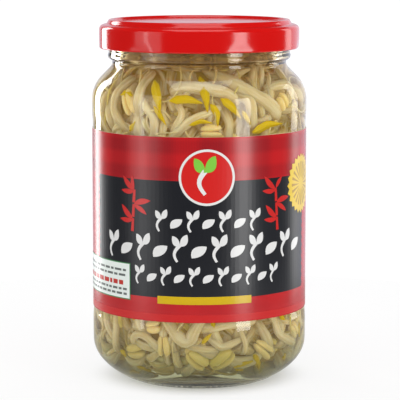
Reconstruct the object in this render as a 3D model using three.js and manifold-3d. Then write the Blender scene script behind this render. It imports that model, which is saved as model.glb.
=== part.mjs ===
// A glass preserving jar of bean sprouts in brine, closed by a red lug lid and wrapped in a paper label.
// Millimetres, +Z up. The origin is on the jar's axis, on the plane that the jar stands on.
import * as THREE from "three";
import { mergeVertices } from "three/addons/utils/BufferGeometryUtils.js";
import Module from "manifold-3d";

const wasm = await Module();
wasm.setup();

// Jar
const JAR_RADIUS = 36.75;
const LABEL_PANEL_RADIUS = 36.45;
const NECK_RADIUS = 29.7;
const FINISH_RADIUS = 30.9;
const BEAD_RADIUS = 31.3;
const BORE_RADIUS = 27.3;
const INNER_RADIUS = 34.3;
const FOOT_INNER_RADIUS = 22.8;
const FOOT_RADIUS = 24.4;
const PUSH_UP = 2.4;
const HEEL_TOP = 13.4;
const SHOULDER_START = 95.9;
const SHOULDER_ARC = 11.5;
const NECK_BASE = 108.2;
const BEAD_HEIGHT = 110.9;
const RIM_HEIGHT = 121.3;
const FLOOR_HEIGHT = 6.4;
const INNER_HEEL_TOP = 15.0;

// Lugs of the lid and threads of the jar
const LUGS = 6;
const LUG_HALF_ANGLE = THREE.MathUtils.degToRad(7);
const FIRST_LUG = THREE.MathUtils.degToRad(24 - 90);
const THREAD_RADIUS = 32.9;
const THREAD_START = THREE.MathUtils.degToRad(-10);
const THREAD_END = THREE.MathUtils.degToRad(32);
const THREAD_LOW = 116.1;
const THREAD_RISE = 1.2;
const THREAD_THICKNESS = 1.5;

// Lid
const LID_RADIUS = 34.15;
const LID_BOTTOM = 113.4;
const LID_TOP = 123.2;
const LID_SHEET = 0.3;
const LID_PANEL_DROP = 0.85;

// Label
const LABEL_BOTTOM = 24.9;
const LABEL_TOP = 86.4;
const LABEL_THICKNESS = 0.2;
const LABEL_CLEARANCE = 0.1;
const LABEL_SEAM_GAP = 4.0;

// Fill
const BRINE_LEVEL = 117.0;
const BRINE_GAP = 0.3;
const BRINE_INSIDE = 0.9;
const SPROUT_INSIDE = 1.4;
const HEAP_EDGE = 111.5;
const HEAP_TOP = 115.4;
const CORE_DEPTH = 3.2;

const SEGMENTS = 40;
const CORE_SEGMENTS = 16;

const colours = {
  glass: new THREE.MeshStandardMaterial({ color: 0xdfe9e4, roughness: 0.05, metalness: 0, transparent: true, opacity: 0.3 }),
  lid: new THREE.MeshStandardMaterial({ color: 0xd4141a, roughness: 0.25, metalness: 0 }),
  gasket: new THREE.MeshStandardMaterial({ color: 0xe9e6dc, roughness: 0.6, metalness: 0 }),
  label: new THREE.MeshStandardMaterial({ color: 0xb3201f, roughness: 0.45, metalness: 0 }),
  brine: new THREE.MeshStandardMaterial({ color: 0xe6dfb4, roughness: 0.05, metalness: 0, transparent: true, opacity: 0.3 }),
  sprout: new THREE.MeshStandardMaterial({ color: 0xd8caa0, roughness: 0.5, metalness: 0 }),
};

// Solids

// The closed solid of a geometry, with its faces turned outwards.
function solidOf(geometry) {
  const bare = geometry.index ? geometry.toNonIndexed() : geometry.clone();
  for (const name of Object.keys(bare.attributes)) {
    if (name !== "position") bare.deleteAttribute(name);
  }
  const merged = mergeVertices(bare, 1e-4);
  const index = merged.index.array;
  const kept = [];
  for (let i = 0; i < index.length; i += 3) {
    const [a, b, c] = [index[i], index[i + 1], index[i + 2]];
    if (a !== b && b !== c && c !== a) kept.push(a, b, c);
  }
  const build = (triangles) =>
    new wasm.Manifold(
      new wasm.Mesh({
        numProp: 3,
        vertProperties: new Float32Array(merged.attributes.position.array),
        triVerts: new Uint32Array(triangles),
      }),
    );
  const solid = build(kept);
  if (solid.volume() >= 0) return solid;
  const turned = [];
  for (let i = 0; i < kept.length; i += 3) turned.push(kept[i], kept[i + 2], kept[i + 1]);
  return build(turned);
}

function geometryOf(solid) {
  const mesh = solid.getMesh();
  const positions = new Float32Array(mesh.numVert * 3);
  for (let i = 0; i < mesh.numVert; i++) {
    positions.set(mesh.vertProperties.subarray(i * mesh.numProp, i * mesh.numProp + 3), i * 3);
  }
  const geometry = new THREE.BufferGeometry();
  geometry.setAttribute("position", new THREE.BufferAttribute(positions, 3));
  geometry.setIndex(new THREE.BufferAttribute(new Uint32Array(mesh.triVerts), 1));
  geometry.computeVertexNormals();
  return geometry;
}

const joined = (solids) => wasm.Manifold.union(solids);

// The largest body of a solid, without loose scraps.
function mainBody(solid) {
  return solid.decompose().reduce((a, b) => (a.volume() > b.volume() ? a : b));
}

const point = (r, z) => new THREE.Vector2(r, z);

// Points of an arc of an ellipse in the profile plane, its angles in degrees from the +r axis.
function arc(centre, semiR, semiZ, from, to, steps) {
  const points = [];
  for (let i = 0; i <= steps; i++) {
    const a = THREE.MathUtils.degToRad(from + ((to - from) * i) / steps);
    points.push(point(centre.x + semiR * Math.cos(a), centre.y + semiZ * Math.sin(a)));
  }
  return points;
}

function turned(profile, segments = SEGMENTS) {
  const geometry = new THREE.LatheGeometry(profile, segments);
  geometry.rotateX(Math.PI / 2);
  return solidOf(geometry);
}

// A profile moved sideways by a distance, to its left hand as it runs. Points on the axis stay on it.
function beside(profile, distance) {
  return profile.map((p, i) => {
    const before = profile[Math.max(i - 1, 0)];
    const after = profile[Math.min(i + 1, profile.length - 1)];
    const along = after.clone().sub(before).normalize();
    const x = p.x === 0 ? 0 : p.x - along.y * distance;
    return point(x, p.y + along.x * distance);
  });
}

// Jar outline, from the middle of its underside out and up to the rim
const heelOutline = arc(point(11, HEEL_TOP + 0.06), JAR_RADIUS - 11, 15.6, -59.2, 0, 7);
const shoulderCentre = point(JAR_RADIUS - SHOULDER_ARC, SHOULDER_START);
const jarOutside = [
  point(0, PUSH_UP),
  point(12, PUSH_UP * 0.92),
  point(19, PUSH_UP * 0.6),
  point(FOOT_INNER_RADIUS, 0),
  point(FOOT_RADIUS, 0),
  ...heelOutline,
  point(JAR_RADIUS, LABEL_BOTTOM - 2.6),
  point(LABEL_PANEL_RADIUS, LABEL_BOTTOM - 0.9),
  point(LABEL_PANEL_RADIUS, LABEL_TOP + 1.8),
  point(JAR_RADIUS, LABEL_TOP + 5.2),
  ...arc(shoulderCentre, SHOULDER_ARC, SHOULDER_ARC, 0, 45, 5),
  point(30.35, NECK_BASE - 1.15),
  point(NECK_RADIUS, NECK_BASE),
  point(NECK_RADIUS, BEAD_HEIGHT - 1.7),
  point(BEAD_RADIUS - 0.35, BEAD_HEIGHT - 0.9),
  point(BEAD_RADIUS, BEAD_HEIGHT),
  point(BEAD_RADIUS - 0.25, BEAD_HEIGHT + 0.9),
  point(FINISH_RADIUS, BEAD_HEIGHT + 1.4),
  point(FINISH_RADIUS, RIM_HEIGHT - 1.0),
  point(FINISH_RADIUS - 0.9, RIM_HEIGHT),
  point(BORE_RADIUS + 1.2, RIM_HEIGHT),
  point(BORE_RADIUS, RIM_HEIGHT - 1.2),
];

// The room inside the jar, from the middle of its floor out and up into the neck
const cavity = [
  point(0, FLOOR_HEIGHT),
  ...arc(point(22.5, INNER_HEEL_TOP), INNER_RADIUS - 22.5, INNER_HEEL_TOP - 5, -90, 0, 5),
  ...arc(shoulderCentre, INNER_RADIUS - shoulderCentre.x, INNER_RADIUS - shoulderCentre.x, 0, 45, 4),
  point(27.95, 106.3),
  point(BORE_RADIUS, NECK_BASE),
];

function jarThread(index) {
  const steps = 6;
  const root = FINISH_RADIUS - 0.6;
  const geometry = new THREE.BoxGeometry(1, 1, 1, 1, steps, 1);
  const positions = geometry.attributes.position;
  for (let i = 0; i < positions.count; i++) {
    const share = positions.getY(i) + 0.5;
    const outside = positions.getX(i) > 0;
    const high = positions.getZ(i) > 0;
    const angle = FIRST_LUG + (index * 2 * Math.PI) / LUGS + THREAD_START + (THREAD_END - THREAD_START) * share;
    const radius = outside ? THREAD_RADIUS : root;
    const slope = outside ? 0.35 : 0;
    const low = THREAD_LOW + THREAD_RISE * share;
    const z = high ? low + THREAD_THICKNESS - slope : low + slope * 0.3;
    positions.setXYZ(i, radius * Math.cos(angle), radius * Math.sin(angle), z);
  }
  return solidOf(geometry);
}

function glassJar() {
  const inside = [...cavity].reverse();
  const wall = turned([...jarOutside, ...inside]);
  const threads = Array.from({ length: LUGS }, (_, i) => jarThread(i));
  return joined([wall, ...threads]);
}

// Lid: pressed sheet with a raised ring, a sunk panel, a curled edge and lugs pressed out of the curl
function lidShell() {
  const ledge = LID_TOP - 1.6;
  const panel = LID_TOP - LID_PANEL_DROP;
  const top = [
    point(0, panel - 0.25),
    point(9.5, panel - 0.2),
    point(11, panel),
    point(28.9, panel),
    point(29.7, LID_TOP),
    point(30.6, LID_TOP),
    point(31.7, ledge + 0.1),
    point(32.8, ledge - 0.1),
    point(33.75, ledge - 0.7),
    point(LID_RADIUS, ledge - 1.6),
    point(LID_RADIUS, LID_BOTTOM + 0.8),
  ];
  const under = beside(top, -LID_SHEET).map((p) => point(Math.min(p.x, LID_RADIUS - LID_SHEET), p.y));
  const curl = [
    point(LID_RADIUS - 0.25, LID_BOTTOM + 0.2),
    point(LID_RADIUS - 0.55, LID_BOTTOM),
    point(LID_RADIUS - 0.85, LID_BOTTOM + 0.25),
    point(LID_RADIUS - 0.85, LID_BOTTOM + 1.1),
    point(LID_RADIUS - 0.55, LID_BOTTOM + 1.5),
  ];
  const skirtInside = point(LID_RADIUS - LID_SHEET, LID_BOTTOM + 1.7);
  const shell = turned([...top, ...curl, skirtInside, ...under.slice(0, -1).reverse()]);
  const lugs = Array.from({ length: LUGS }, (_, i) => lidLug(i));
  return joined([shell, ...lugs]);
}

function lidLug(index) {
  const geometry = new THREE.BoxGeometry(1, 1, 1, 1, 2, 1);
  const positions = geometry.attributes.position;
  for (let i = 0; i < positions.count; i++) {
    const middle = FIRST_LUG + (index * 2 * Math.PI) / LUGS;
    const inward = positions.getX(i) < 0;
    const high = positions.getZ(i) > 0;
    const angle = middle + positions.getY(i) * 2 * LUG_HALF_ANGLE * (inward ? 0.8 : 1);
    const radius = inward ? FINISH_RADIUS + 0.55 : LID_RADIUS - 0.35;
    const bottom = inward ? LID_BOTTOM + 0.75 : LID_BOTTOM + 0.35;
    const z = high ? LID_BOTTOM + 1.75 : bottom;
    positions.setXYZ(i, radius * Math.cos(angle), radius * Math.sin(angle), z);
  }
  return solidOf(geometry);
}

// Gasket: the sealing ring flowed into the lid's channel over the glass rim
function sealingGasket() {
  const low = RIM_HEIGHT + 0.1;
  const channel = LID_TOP - LID_SHEET - 0.25;
  const panelUnder = LID_TOP - LID_PANEL_DROP - LID_SHEET - 0.1;
  return turned([
    point(27.3, low),
    point(30.9, low),
    point(30.6, channel - 0.8),
    point(30.2, channel),
    point(29.75, channel - 0.1),
    point(29.2, panelUnder),
    point(27.3, panelUnder),
    point(27.3, low),
  ]);
}

// Label: one strip of paper round the panel, its ends a little apart at the back
function label() {
  const inner = LABEL_PANEL_RADIUS + LABEL_CLEARANCE;
  const outer = inner + LABEL_THICKNESS;
  const band = turned([
    point(inner, LABEL_BOTTOM),
    point(outer, LABEL_BOTTOM),
    point(outer, LABEL_TOP),
    point(inner, LABEL_TOP),
    point(inner, LABEL_BOTTOM),
  ]);
  const slot = new THREE.BoxGeometry(LABEL_SEAM_GAP, 10, LABEL_TOP);
  slot.translate(0, outer, (LABEL_BOTTOM + LABEL_TOP) / 2);
  return band.subtract(solidOf(slot));
}

// Brine: the liquid between the glass and the sprouts, round the plain hole that they stand in
function levelled(profile, level) {
  const last = profile[profile.length - 1];
  return [...profile, point(last.x, level)];
}

function brine() {
  const outside = levelled(beside(cavity, BRINE_GAP), BRINE_LEVEL);
  const inside = levelled(beside(cavity, BRINE_INSIDE), BRINE_LEVEL);
  return turned([...outside, ...inside.reverse()]);
}

// The skin that the sprouts press against, from the middle of the floor to the middle of the heap's top
const sproutSkin = [
  ...beside(cavity, SPROUT_INSIDE),
  point(BORE_RADIUS - SPROUT_INSIDE, HEAP_EDGE),
  point(21, HEAP_TOP - 1.1),
  point(10, HEAP_TOP - 0.2),
  point(0, HEAP_TOP),
];

// A place on the skin: the nearest point to a given one, and the way out of the jar there.
function onSkin(p) {
  const azimuth = Math.atan2(p.y, p.x);
  const r = Math.hypot(p.x, p.y);
  let best = null;
  for (let i = 0; i + 1 < sproutSkin.length; i++) {
    const a = sproutSkin[i];
    const b = sproutSkin[i + 1];
    const along = b.clone().sub(a);
    const share = Math.min(1, Math.max(0, ((r - a.x) * along.x + (p.z - a.y) * along.y) / along.lengthSq()));
    const x = a.x + along.x * share;
    const z = a.y + along.y * share;
    const gap = Math.hypot(r - x, p.z - z);
    if (!best || gap < best.gap - 1e-9) best = { gap, x, z, i, share };
  }
  const out = skinNormal(best.i).multiplyScalar(1 - best.share).add(skinNormal(best.i + 1).multiplyScalar(best.share));
  out.normalize();
  return {
    at: new THREE.Vector3(best.x * Math.cos(azimuth), best.x * Math.sin(azimuth), best.z),
    out: new THREE.Vector3(out.x * Math.cos(azimuth), out.x * Math.sin(azimuth), out.y),
  };
}

function skinNormal(i) {
  const before = sproutSkin[Math.max(i - 1, 0)];
  const after = sproutSkin[Math.min(i + 1, sproutSkin.length - 1)];
  const along = after.clone().sub(before).normalize();
  return point(along.y, -along.x);
}

// Seeded random numbers from 0 to 1
function seeded(seed) {
  let state = seed >>> 0;
  return () => {
    state = (state + 0x6d2b79f5) >>> 0;
    let t = state;
    t = Math.imul(t ^ (t >>> 15), t | 1) >>> 0;
    t = (t ^ (t + Math.imul(t ^ (t >>> 7), t | 61))) >>> 0;
    return ((t ^ (t >>> 14)) >>> 0) / 4294967296;
  };
}

// What lies on the skin where it shows at the front, as points of [degrees to the right of the front, height].
// Stems carry the diameters of their two ends, beans and leaves their width.
const FRONT_STEMS = [
  { path: [[13.5, 105.5], [24.5, 103], [36, 99.5], [50, 94]], ends: [4.0, 4.5] },
  { path: [[-38.5, 102.5], [-38, 98.5], [-39, 93], [-38, 87]], ends: [3.1, 4.2] },
  { path: [[-11, 107.5], [7.5, 106.5], [22, 103], [29.5, 99], [32.5, 93]], ends: [2.6, 3.8] },
  { path: [[-10, 102.5], [4.5, 102], [18.5, 100.5]], ends: [4.0, 3.5] },
  { path: [[-22, 104.5], [-20, 101.5], [-17.5, 98]], ends: [3.5, 3.3] },
  { path: [[-17.5, 104.5], [-12, 101], [-9, 100], [-5.5, 102]], ends: [1.7, 1.3] },
  { path: [[39, 90.5], [51.5, 92.5], [69, 94]], ends: [2.8, 3.3] },
  { path: [[-13, 87.5], [-3.5, 92], [5.5, 94]], ends: [3.1, 2.4] },
  { path: [[56.5, 101.5], [68, 100.5], [65.5, 97], [72, 91]], ends: [2.6, 3.3] },
  { path: [[-56, 101], [-57, 98], [-57, 93.5], [-52, 90]], ends: [3.3, 2.8] },
  { path: [[-69, 97], [-71, 91.5], [-65.5, 86.5]], ends: [3.1, 3.1] },
  { path: [[-60, 86], [-51, 89], [-45.5, 88]], ends: [2.8, 2.4] },
  { path: [[-54.5, 105.5], [-31.5, 110], [-14, 111]], ends: [3.1, 2.6] },
  { path: [[-18.5, 23.5], [-12, 19], [-6.5, 17.5], [-3.5, 20.5], [0, 24]], ends: [4.0, 4.0] },
  { path: [[3.5, 22], [15, 23], [29, 23.5]], ends: [3.1, 3.5] },
  { path: [[-56.5, 24], [-56.5, 18], [-57, 12]], ends: [3.3, 2.6] },
  { path: [[-41.5, 16.5], [-40.5, 18.5], [-35, 19], [-25, 15.5]], ends: [2.6, 3.1] },
  { path: [[-15, 20], [-21.5, 15], [-30.5, 10.5]], ends: [1.9, 2.6] },
  { path: [[-16.5, 17], [-15.5, 12.5], [-14, 9]], ends: [2.1, 2.4] },
  { path: [[-8.5, 16.5], [-1, 15.5], [5.5, 15]], ends: [2.8, 2.1] },
  { path: [[41.5, 21], [44.5, 16], [51, 10]], ends: [3.5, 3.1] },
  { path: [[50, 22.5], [52.5, 18.5], [68, 13.5]], ends: [2.8, 3.3] },
];
const BEANS = [
  { path: [[1, 88], [13, 88]], width: 4.7 },
  { path: [[-48.5, 100], [-42.5, 93]], width: 4.5 },
  { path: [[54.5, 98], [59, 94]], width: 4.7 },
  { path: [[-6.5, 12.5], [4.5, 8.5]], width: 4.9 },
  { path: [[7, 8.5], [20, 12.5]], width: 5.2 },
  { path: [[35, 16], [48, 11]], width: 4.3 },
  { path: [[-47.5, 12], [-35, 13]], width: 4.7 },
  { path: [[-32.5, 21.5], [-24, 22.5]], width: 4.3 },
  { path: [[67.5, 20], [74, 15]], width: 4.5 },
];
const LEAVES = [
  { path: [[-29, 102.5], [-25, 99], [-23, 95]], width: 3.6 },
  { path: [[-15, 98], [-7.5, 98.5], [0, 97.5]], width: 3.1 },
  { path: [[1, 104], [3.5, 100], [4.5, 95.5]], width: 3.8 },
  { path: [[7.5, 96], [10, 94], [10.5, 91]], width: 2.7 },
  { path: [[-4.5, 90.5], [0, 91.5], [5.5, 91]], width: 2.2 },
  { path: [[14, 98], [18.5, 96], [23, 93]], width: 3.1 },
  { path: [[33.5, 87.5], [42.5, 89.5], [52, 89.5]], width: 3.6 },
  { path: [[24, 9], [31.5, 10]], width: 2.0 },
  { path: [[34.5, 11.5], [43, 7.5]], width: 2.5 },
  { path: [[-25, 95], [-22.5, 93], [-20, 91]], width: 2.1 },
  { path: [[-48.5, 99], [-46, 99.5], [-43.5, 99]], width: 2.5 },
  { path: [[26, 93.5], [29, 91]], width: 2.0 },
];
const STEM_STEP = 2.0;
const STEM_SIDES = 5;
const STEM_OVERLAP = 0.5;
const LEAF_THICKNESS = 0.7;
const ROOT_DEPTH = 4.4;
const DEEPEST = 6.0;
const RANDOM_SPROUTS = 32;

// The skin's outermost radius at a height
function skinRadius(height) {
  let radius = 0;
  for (let i = 0; i + 1 < sproutSkin.length; i++) {
    const [a, b] = [sproutSkin[i], sproutSkin[i + 1]];
    if (height < Math.min(a.y, b.y) || height > Math.max(a.y, b.y) || a.y === b.y) continue;
    radius = Math.max(radius, a.x + ((b.x - a.x) * (height - a.y)) / (b.y - a.y));
  }
  return radius;
}

function skinPath(path) {
  const points = path.map(([degrees, height]) => {
    const a = THREE.MathUtils.degToRad(degrees - 90);
    const r = skinRadius(height);
    return new THREE.Vector3(r * Math.cos(a), r * Math.sin(a), height);
  });
  const curve = new THREE.CatmullRomCurve3(points, false, "centripetal");
  const steps = Math.max(3, Math.round(curve.getLength() / STEM_STEP));
  return curve.getSpacedPoints(steps).map(onSkin);
}

// A sprout's wandering line along the skin from a random place, bending slowly one way and the other
function wanderingPath(random) {
  const areas = [0];
  for (let i = 0; i + 1 < sproutSkin.length; i++) {
    const [a, b] = [sproutSkin[i], sproutSkin[i + 1]];
    areas.push(areas[i] + (a.x + b.x) * a.distanceTo(b));
  }
  const wanted = random() * areas[areas.length - 1];
  const piece = areas.findIndex((area, i) => area <= wanted && wanted < areas[i + 1]);
  const share = (wanted - areas[piece]) / (areas[piece + 1] - areas[piece]);
  const start = sproutSkin[piece].clone().lerp(sproutSkin[piece + 1], share);
  const azimuth = random() * 2 * Math.PI;
  let place = onSkin(new THREE.Vector3(start.x * Math.cos(azimuth), start.x * Math.sin(azimuth), start.y));
  const side = new THREE.Vector3(-Math.sin(azimuth), Math.cos(azimuth), 0);
  const heading = side.applyAxisAngle(place.out, random() * 2 * Math.PI);
  const length = 32 + 30 * random();
  const bend = 0.09 * (random() - 0.5);
  const sway = 0.06 + 0.08 * random();
  const phase = random() * 2 * Math.PI;
  const steps = Math.round(length / STEM_STEP);
  const line = [place];
  for (let i = 1; i <= steps; i++) {
    const next = onSkin(place.at.clone().addScaledVector(heading, STEM_STEP));
    heading.addScaledVector(next.out, -heading.dot(next.out)).normalize();
    heading.applyAxisAngle(next.out, STEM_STEP * (bend + sway * Math.sin(phase + (5 * i) / steps)));
    place = next;
    line.push(place);
  }
  return line;
}

// Everything laid so far, as round marks on the skin that later stems pass behind
const laid = [];

function mark(line, radii, centres) {
  line.forEach((place, i) => laid.push({ at: place.at, radius: radii[i], centre: centres[i] }));
}

// How deep behind the skin a stem's centre lies at each of its places, so that it passes behind what is there
function depthsBehind(line, radii) {
  const needed = line.map((place, i) => {
    let depth = radii[i];
    for (const { at, radius, centre } of laid) {
      const reach = radius + radii[i] - STEM_OVERLAP;
      const apart = place.at.distanceTo(at);
      if (apart < reach) depth = Math.max(depth, centre + Math.sqrt(reach * reach - apart * apart));
    }
    return depth;
  });
  const eased = needed.map((_, i) =>
    needed.reduce((most, depth, j) => Math.max(most, depth - 0.55 * STEM_STEP * Math.abs(i - j)), 0),
  );
  return eased.map((depth, i) => {
    const before = eased[Math.max(i - 1, 0)];
    const after = eased[Math.min(i + 1, eased.length - 1)];
    return Math.max(needed[i], 0.25 * before + 0.5 * depth + 0.25 * after);
  });
}

// A stem laid behind what is there already, its root end sunk into the core, or null where it would be hidden
function layStem(line, ends) {
  const last = line.length - 1;
  const radii = line.map((_, i) => (ends[0] + ((ends[1] - ends[0]) * i) / last) / 2);
  const depths = depthsBehind(line, radii);
  if (Math.max(...depths) > DEEPEST) return null;
  mark(line, radii, depths);
  const root = ends[0] < ends[1] ? 0 : last;
  const sunk = depths.map((depth, i) => Math.max(depth, ROOT_DEPTH - 0.9 * STEM_STEP * Math.abs(i - root)));
  return { line, depths: sunk, radii };
}

// A tapered rod, bent along the stem's line at its depths
function stemSolid({ line, depths, radii }) {
  const last = line.length - 1;
  const rings = Math.max(3, Math.min(7, Math.round(last / 3)));
  const geometry = new THREE.CylinderGeometry(1, 1, 1, STEM_SIDES, rings);
  const centres = new THREE.CatmullRomCurve3(
    line.map((place, i) => place.at.clone().addScaledVector(place.out, -depths[i])),
    false,
    "centripetal",
  );
  const positions = geometry.attributes.position;
  for (let i = 0; i < positions.count; i++) {
    const share = positions.getY(i) + 0.5;
    const centre = centres.getPoint(share);
    const along = centres.getTangent(share);
    const out = line[Math.round(share * last)].out.clone();
    out.addScaledVector(along, -out.dot(along)).normalize();
    const across = along.clone().cross(out);
    const radius = radii[0] + (radii[last] - radii[0]) * share;
    centre.addScaledVector(out, positions.getZ(i) * radius).addScaledVector(across, positions.getX(i) * radius);
    positions.setXYZ(i, centre.x, centre.y, centre.z);
  }
  return solidOf(geometry);
}

// The place and directions of a bean on the skin: along its length, across it and out of the jar
function beanPlace(line, depth) {
  const ends = [line[0].at, line.at(-1).at];
  const middle = onSkin(ends[0].clone().lerp(ends[1], 0.5));
  const along = ends[1].clone().sub(ends[0]);
  const length = along.length();
  along.addScaledVector(middle.out, -along.dot(middle.out)).normalize();
  const across = middle.out.clone().cross(along);
  const centre = middle.at.clone().addScaledVector(middle.out, -depth - 0.25);
  return { length, centre, basis: new THREE.Matrix4().makeBasis(along, across, middle.out) };
}

// A bean: two swollen seed halves, hinged at one end and parted by a narrow slit
function beanSolid({ path, width }) {
  const depth = width * 0.42;
  const line = skinPath(path);
  const { length, centre, basis } = beanPlace(line, depth);
  const halves = [-1, 1].map((side) => {
    const half = new THREE.SphereGeometry(1, 8, 5);
    half.scale(length / 2, width * 0.27, depth);
    half.rotateZ(side * 0.07);
    half.translate(0, side * width * 0.235, 0);
    return solidOf(half.applyMatrix4(basis).translate(centre.x, centre.y, centre.z));
  });
  mark(line, line.map(() => width / 2), line.map(() => depth));
  return joined(halves);
}

// A first leaf: a narrow folded blade, pointed at both ends, that lies on the skin over a stalk from the core
function leafSolid({ path, width }) {
  const geometry = new THREE.BoxGeometry(1, 1, 1, 6, 2, 1);
  const line = skinPath(path);
  const curve = new THREE.CatmullRomCurve3(line.map((place) => place.at), false, "centripetal");
  const positions = geometry.attributes.position;
  for (let i = 0; i < positions.count; i++) {
    const share = positions.getX(i) + 0.5;
    const place = onSkin(curve.getPoint(share));
    const along = curve.getTangent(share);
    const across = place.out.clone().cross(along).normalize();
    const breadth = 0.18 + 0.82 * Math.pow(Math.sin(Math.PI * (0.06 + 0.88 * share)), 0.75);
    const fold = positions.getY(i) === 0 ? 0.3 : 0.1;
    const depth = positions.getZ(i) > 0 ? fold : fold + LEAF_THICKNESS;
    place.at.addScaledVector(across, positions.getY(i) * width * breadth).addScaledVector(place.out, -depth);
    positions.setXYZ(i, place.at.x, place.at.y, place.at.z);
  }
  mark(line, line.map(() => width / 2), line.map(() => LEAF_THICKNESS + 0.3 - width / 2));
  const root = line[Math.floor(line.length / 2)];
  const stalk = new THREE.CylinderGeometry(0.9, 0.6, CORE_DEPTH + 0.6, 4);
  stalk.applyQuaternion(new THREE.Quaternion().setFromUnitVectors(new THREE.Vector3(0, -1, 0), root.out));
  const centre = root.at.clone().addScaledVector(root.out, -0.6 - (CORE_DEPTH + 0.6) / 2);
  stalk.translate(centre.x, centre.y, centre.z);
  return solidOf(geometry).add(solidOf(stalk));
}

// The seed halves that a sprout still carries at its thick end
function sproutHead({ line, depths }) {
  const along = line[0].at.clone().sub(line[1].at).normalize();
  const place = onSkin(line[0].at.clone().addScaledVector(along, 2.4));
  along.addScaledVector(place.out, -along.dot(place.out)).normalize();
  const across = place.out.clone().cross(along);
  const centre = place.at.clone().addScaledVector(place.out, -Math.max(depths[0], 2.4));
  const head = new THREE.SphereGeometry(1, 7, 5);
  head.scale(3.6, 2.0, 1.9);
  head.applyMatrix4(new THREE.Matrix4().makeBasis(along, across, place.out).setPosition(centre));
  return solidOf(head);
}

// The sprouts as they are packed: a core of stems pressed together, and the outer sprouts that stand out of it,
// fewer of them behind the label
function beanSprouts() {
  const random = seeded(20613);
  const beans = BEANS.map(beanSolid);
  const leaves = LEAVES.map(leafSolid);
  const stems = FRONT_STEMS.map(({ path, ends }) => layStem(skinPath(path), ends));
  const heads = [];
  for (let i = 0; i < RANDOM_SPROUTS; i++) {
    const line = wanderingPath(random);
    const thick = 3.0 + 1.1 * random();
    const headed = random() < 0.4;
    const height = line[Math.floor(line.length / 2)].at.z;
    if (height > LABEL_BOTTOM && height < LABEL_TOP) continue;
    const stem = layStem(line, [thick, 0.5 * thick]);
    stems.push(stem);
    if (stem && headed) heads.push(sproutHead(stem));
  }
  const core = turned(beside(sproutSkin, CORE_DEPTH), CORE_SEGMENTS);
  return mainBody(joined([core, ...beans, ...leaves, ...heads, ...stems.filter(Boolean).map(stemSolid)]));
}

// Assembly
const jar = new THREE.Group();

function addNode(name, solid, material) {
  const mesh = new THREE.Mesh(geometryOf(solid), material);
  mesh.name = name;
  jar.add(mesh);
}

addNode("glass_jar", glassJar(), colours.glass);
addNode("lid", lidShell(), colours.lid);
addNode("sealing_gasket", sealingGasket(), colours.gasket);
addNode("label", label(), colours.label);
addNode("brine", brine(), colours.brine);
addNode("bean_sprouts", beanSprouts(), colours.sprout);

export default jar;
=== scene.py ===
"""A glass jar of bean sprouts in brine, with a red lug lid and a printed paper label.

The jar, lid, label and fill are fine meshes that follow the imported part. Sizes are in millimetres and are
turned into metres where a mesh is made. A place on the wall is given as degrees to the right of the front,
and a height.
"""

import math
import random

import bmesh
import bpy
import numpy as np
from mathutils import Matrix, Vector
from mathutils.geometry import tessellate_polygon

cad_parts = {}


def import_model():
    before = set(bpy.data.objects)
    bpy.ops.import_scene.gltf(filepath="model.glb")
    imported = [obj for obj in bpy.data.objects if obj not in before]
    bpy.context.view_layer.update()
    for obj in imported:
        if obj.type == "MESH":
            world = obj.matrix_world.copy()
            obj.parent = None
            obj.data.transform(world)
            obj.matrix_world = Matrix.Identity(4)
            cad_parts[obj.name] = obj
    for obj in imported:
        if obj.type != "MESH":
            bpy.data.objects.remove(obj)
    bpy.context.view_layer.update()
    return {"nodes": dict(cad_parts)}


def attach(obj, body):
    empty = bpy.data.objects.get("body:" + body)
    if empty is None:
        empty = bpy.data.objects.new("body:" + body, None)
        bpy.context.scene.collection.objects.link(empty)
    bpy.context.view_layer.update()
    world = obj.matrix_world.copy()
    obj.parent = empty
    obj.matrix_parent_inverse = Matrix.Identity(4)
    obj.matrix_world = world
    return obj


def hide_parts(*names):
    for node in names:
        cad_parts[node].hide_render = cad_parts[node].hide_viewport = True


MM = 0.001

# Jar
JAR_RADIUS = 36.75
LABEL_PANEL_RADIUS = 36.45
NECK_RADIUS = 29.7
FINISH_RADIUS = 30.9
BEAD_RADIUS = 31.3
BORE_RADIUS = 27.3
INNER_RADIUS = 34.3
FOOT_INNER_RADIUS = 22.8
FOOT_RADIUS = 24.4
PUSH_UP = 2.4
HEEL_TOP = 13.4
SHOULDER_START = 95.9
SHOULDER_ARC = 11.5
NECK_BASE = 108.2
BEAD_HEIGHT = 110.9
RIM_HEIGHT = 121.3
FLOOR_HEIGHT = 6.4
INNER_HEEL_TOP = 15.0
KNURLS = 84
KNURL_RING = 26.1
KNURL_HEIGHT = 1.35
JAR_SEGMENTS = 144
GLASS_IOR = 1.5

# Lugs of the lid and threads of the jar
LUGS = 6
FIRST_LUG = 24
LUG_HALF_ANGLE = 7
THREAD_RADIUS = 32.9
THREAD_SPAN = (-10, 32)
THREAD_LOW = 116.1
THREAD_RISE = 1.2
THREAD_THICKNESS = 1.5

# Lid
LID_RADIUS = 34.15
LID_BOTTOM = 113.4
LID_TOP = 123.2
LID_SHEET = 0.3
LID_PANEL_DROP = 0.85
LUG_DENT = 0.4
LID_SEGMENTS = 192
CURL_RADIUS = 0.55

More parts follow.
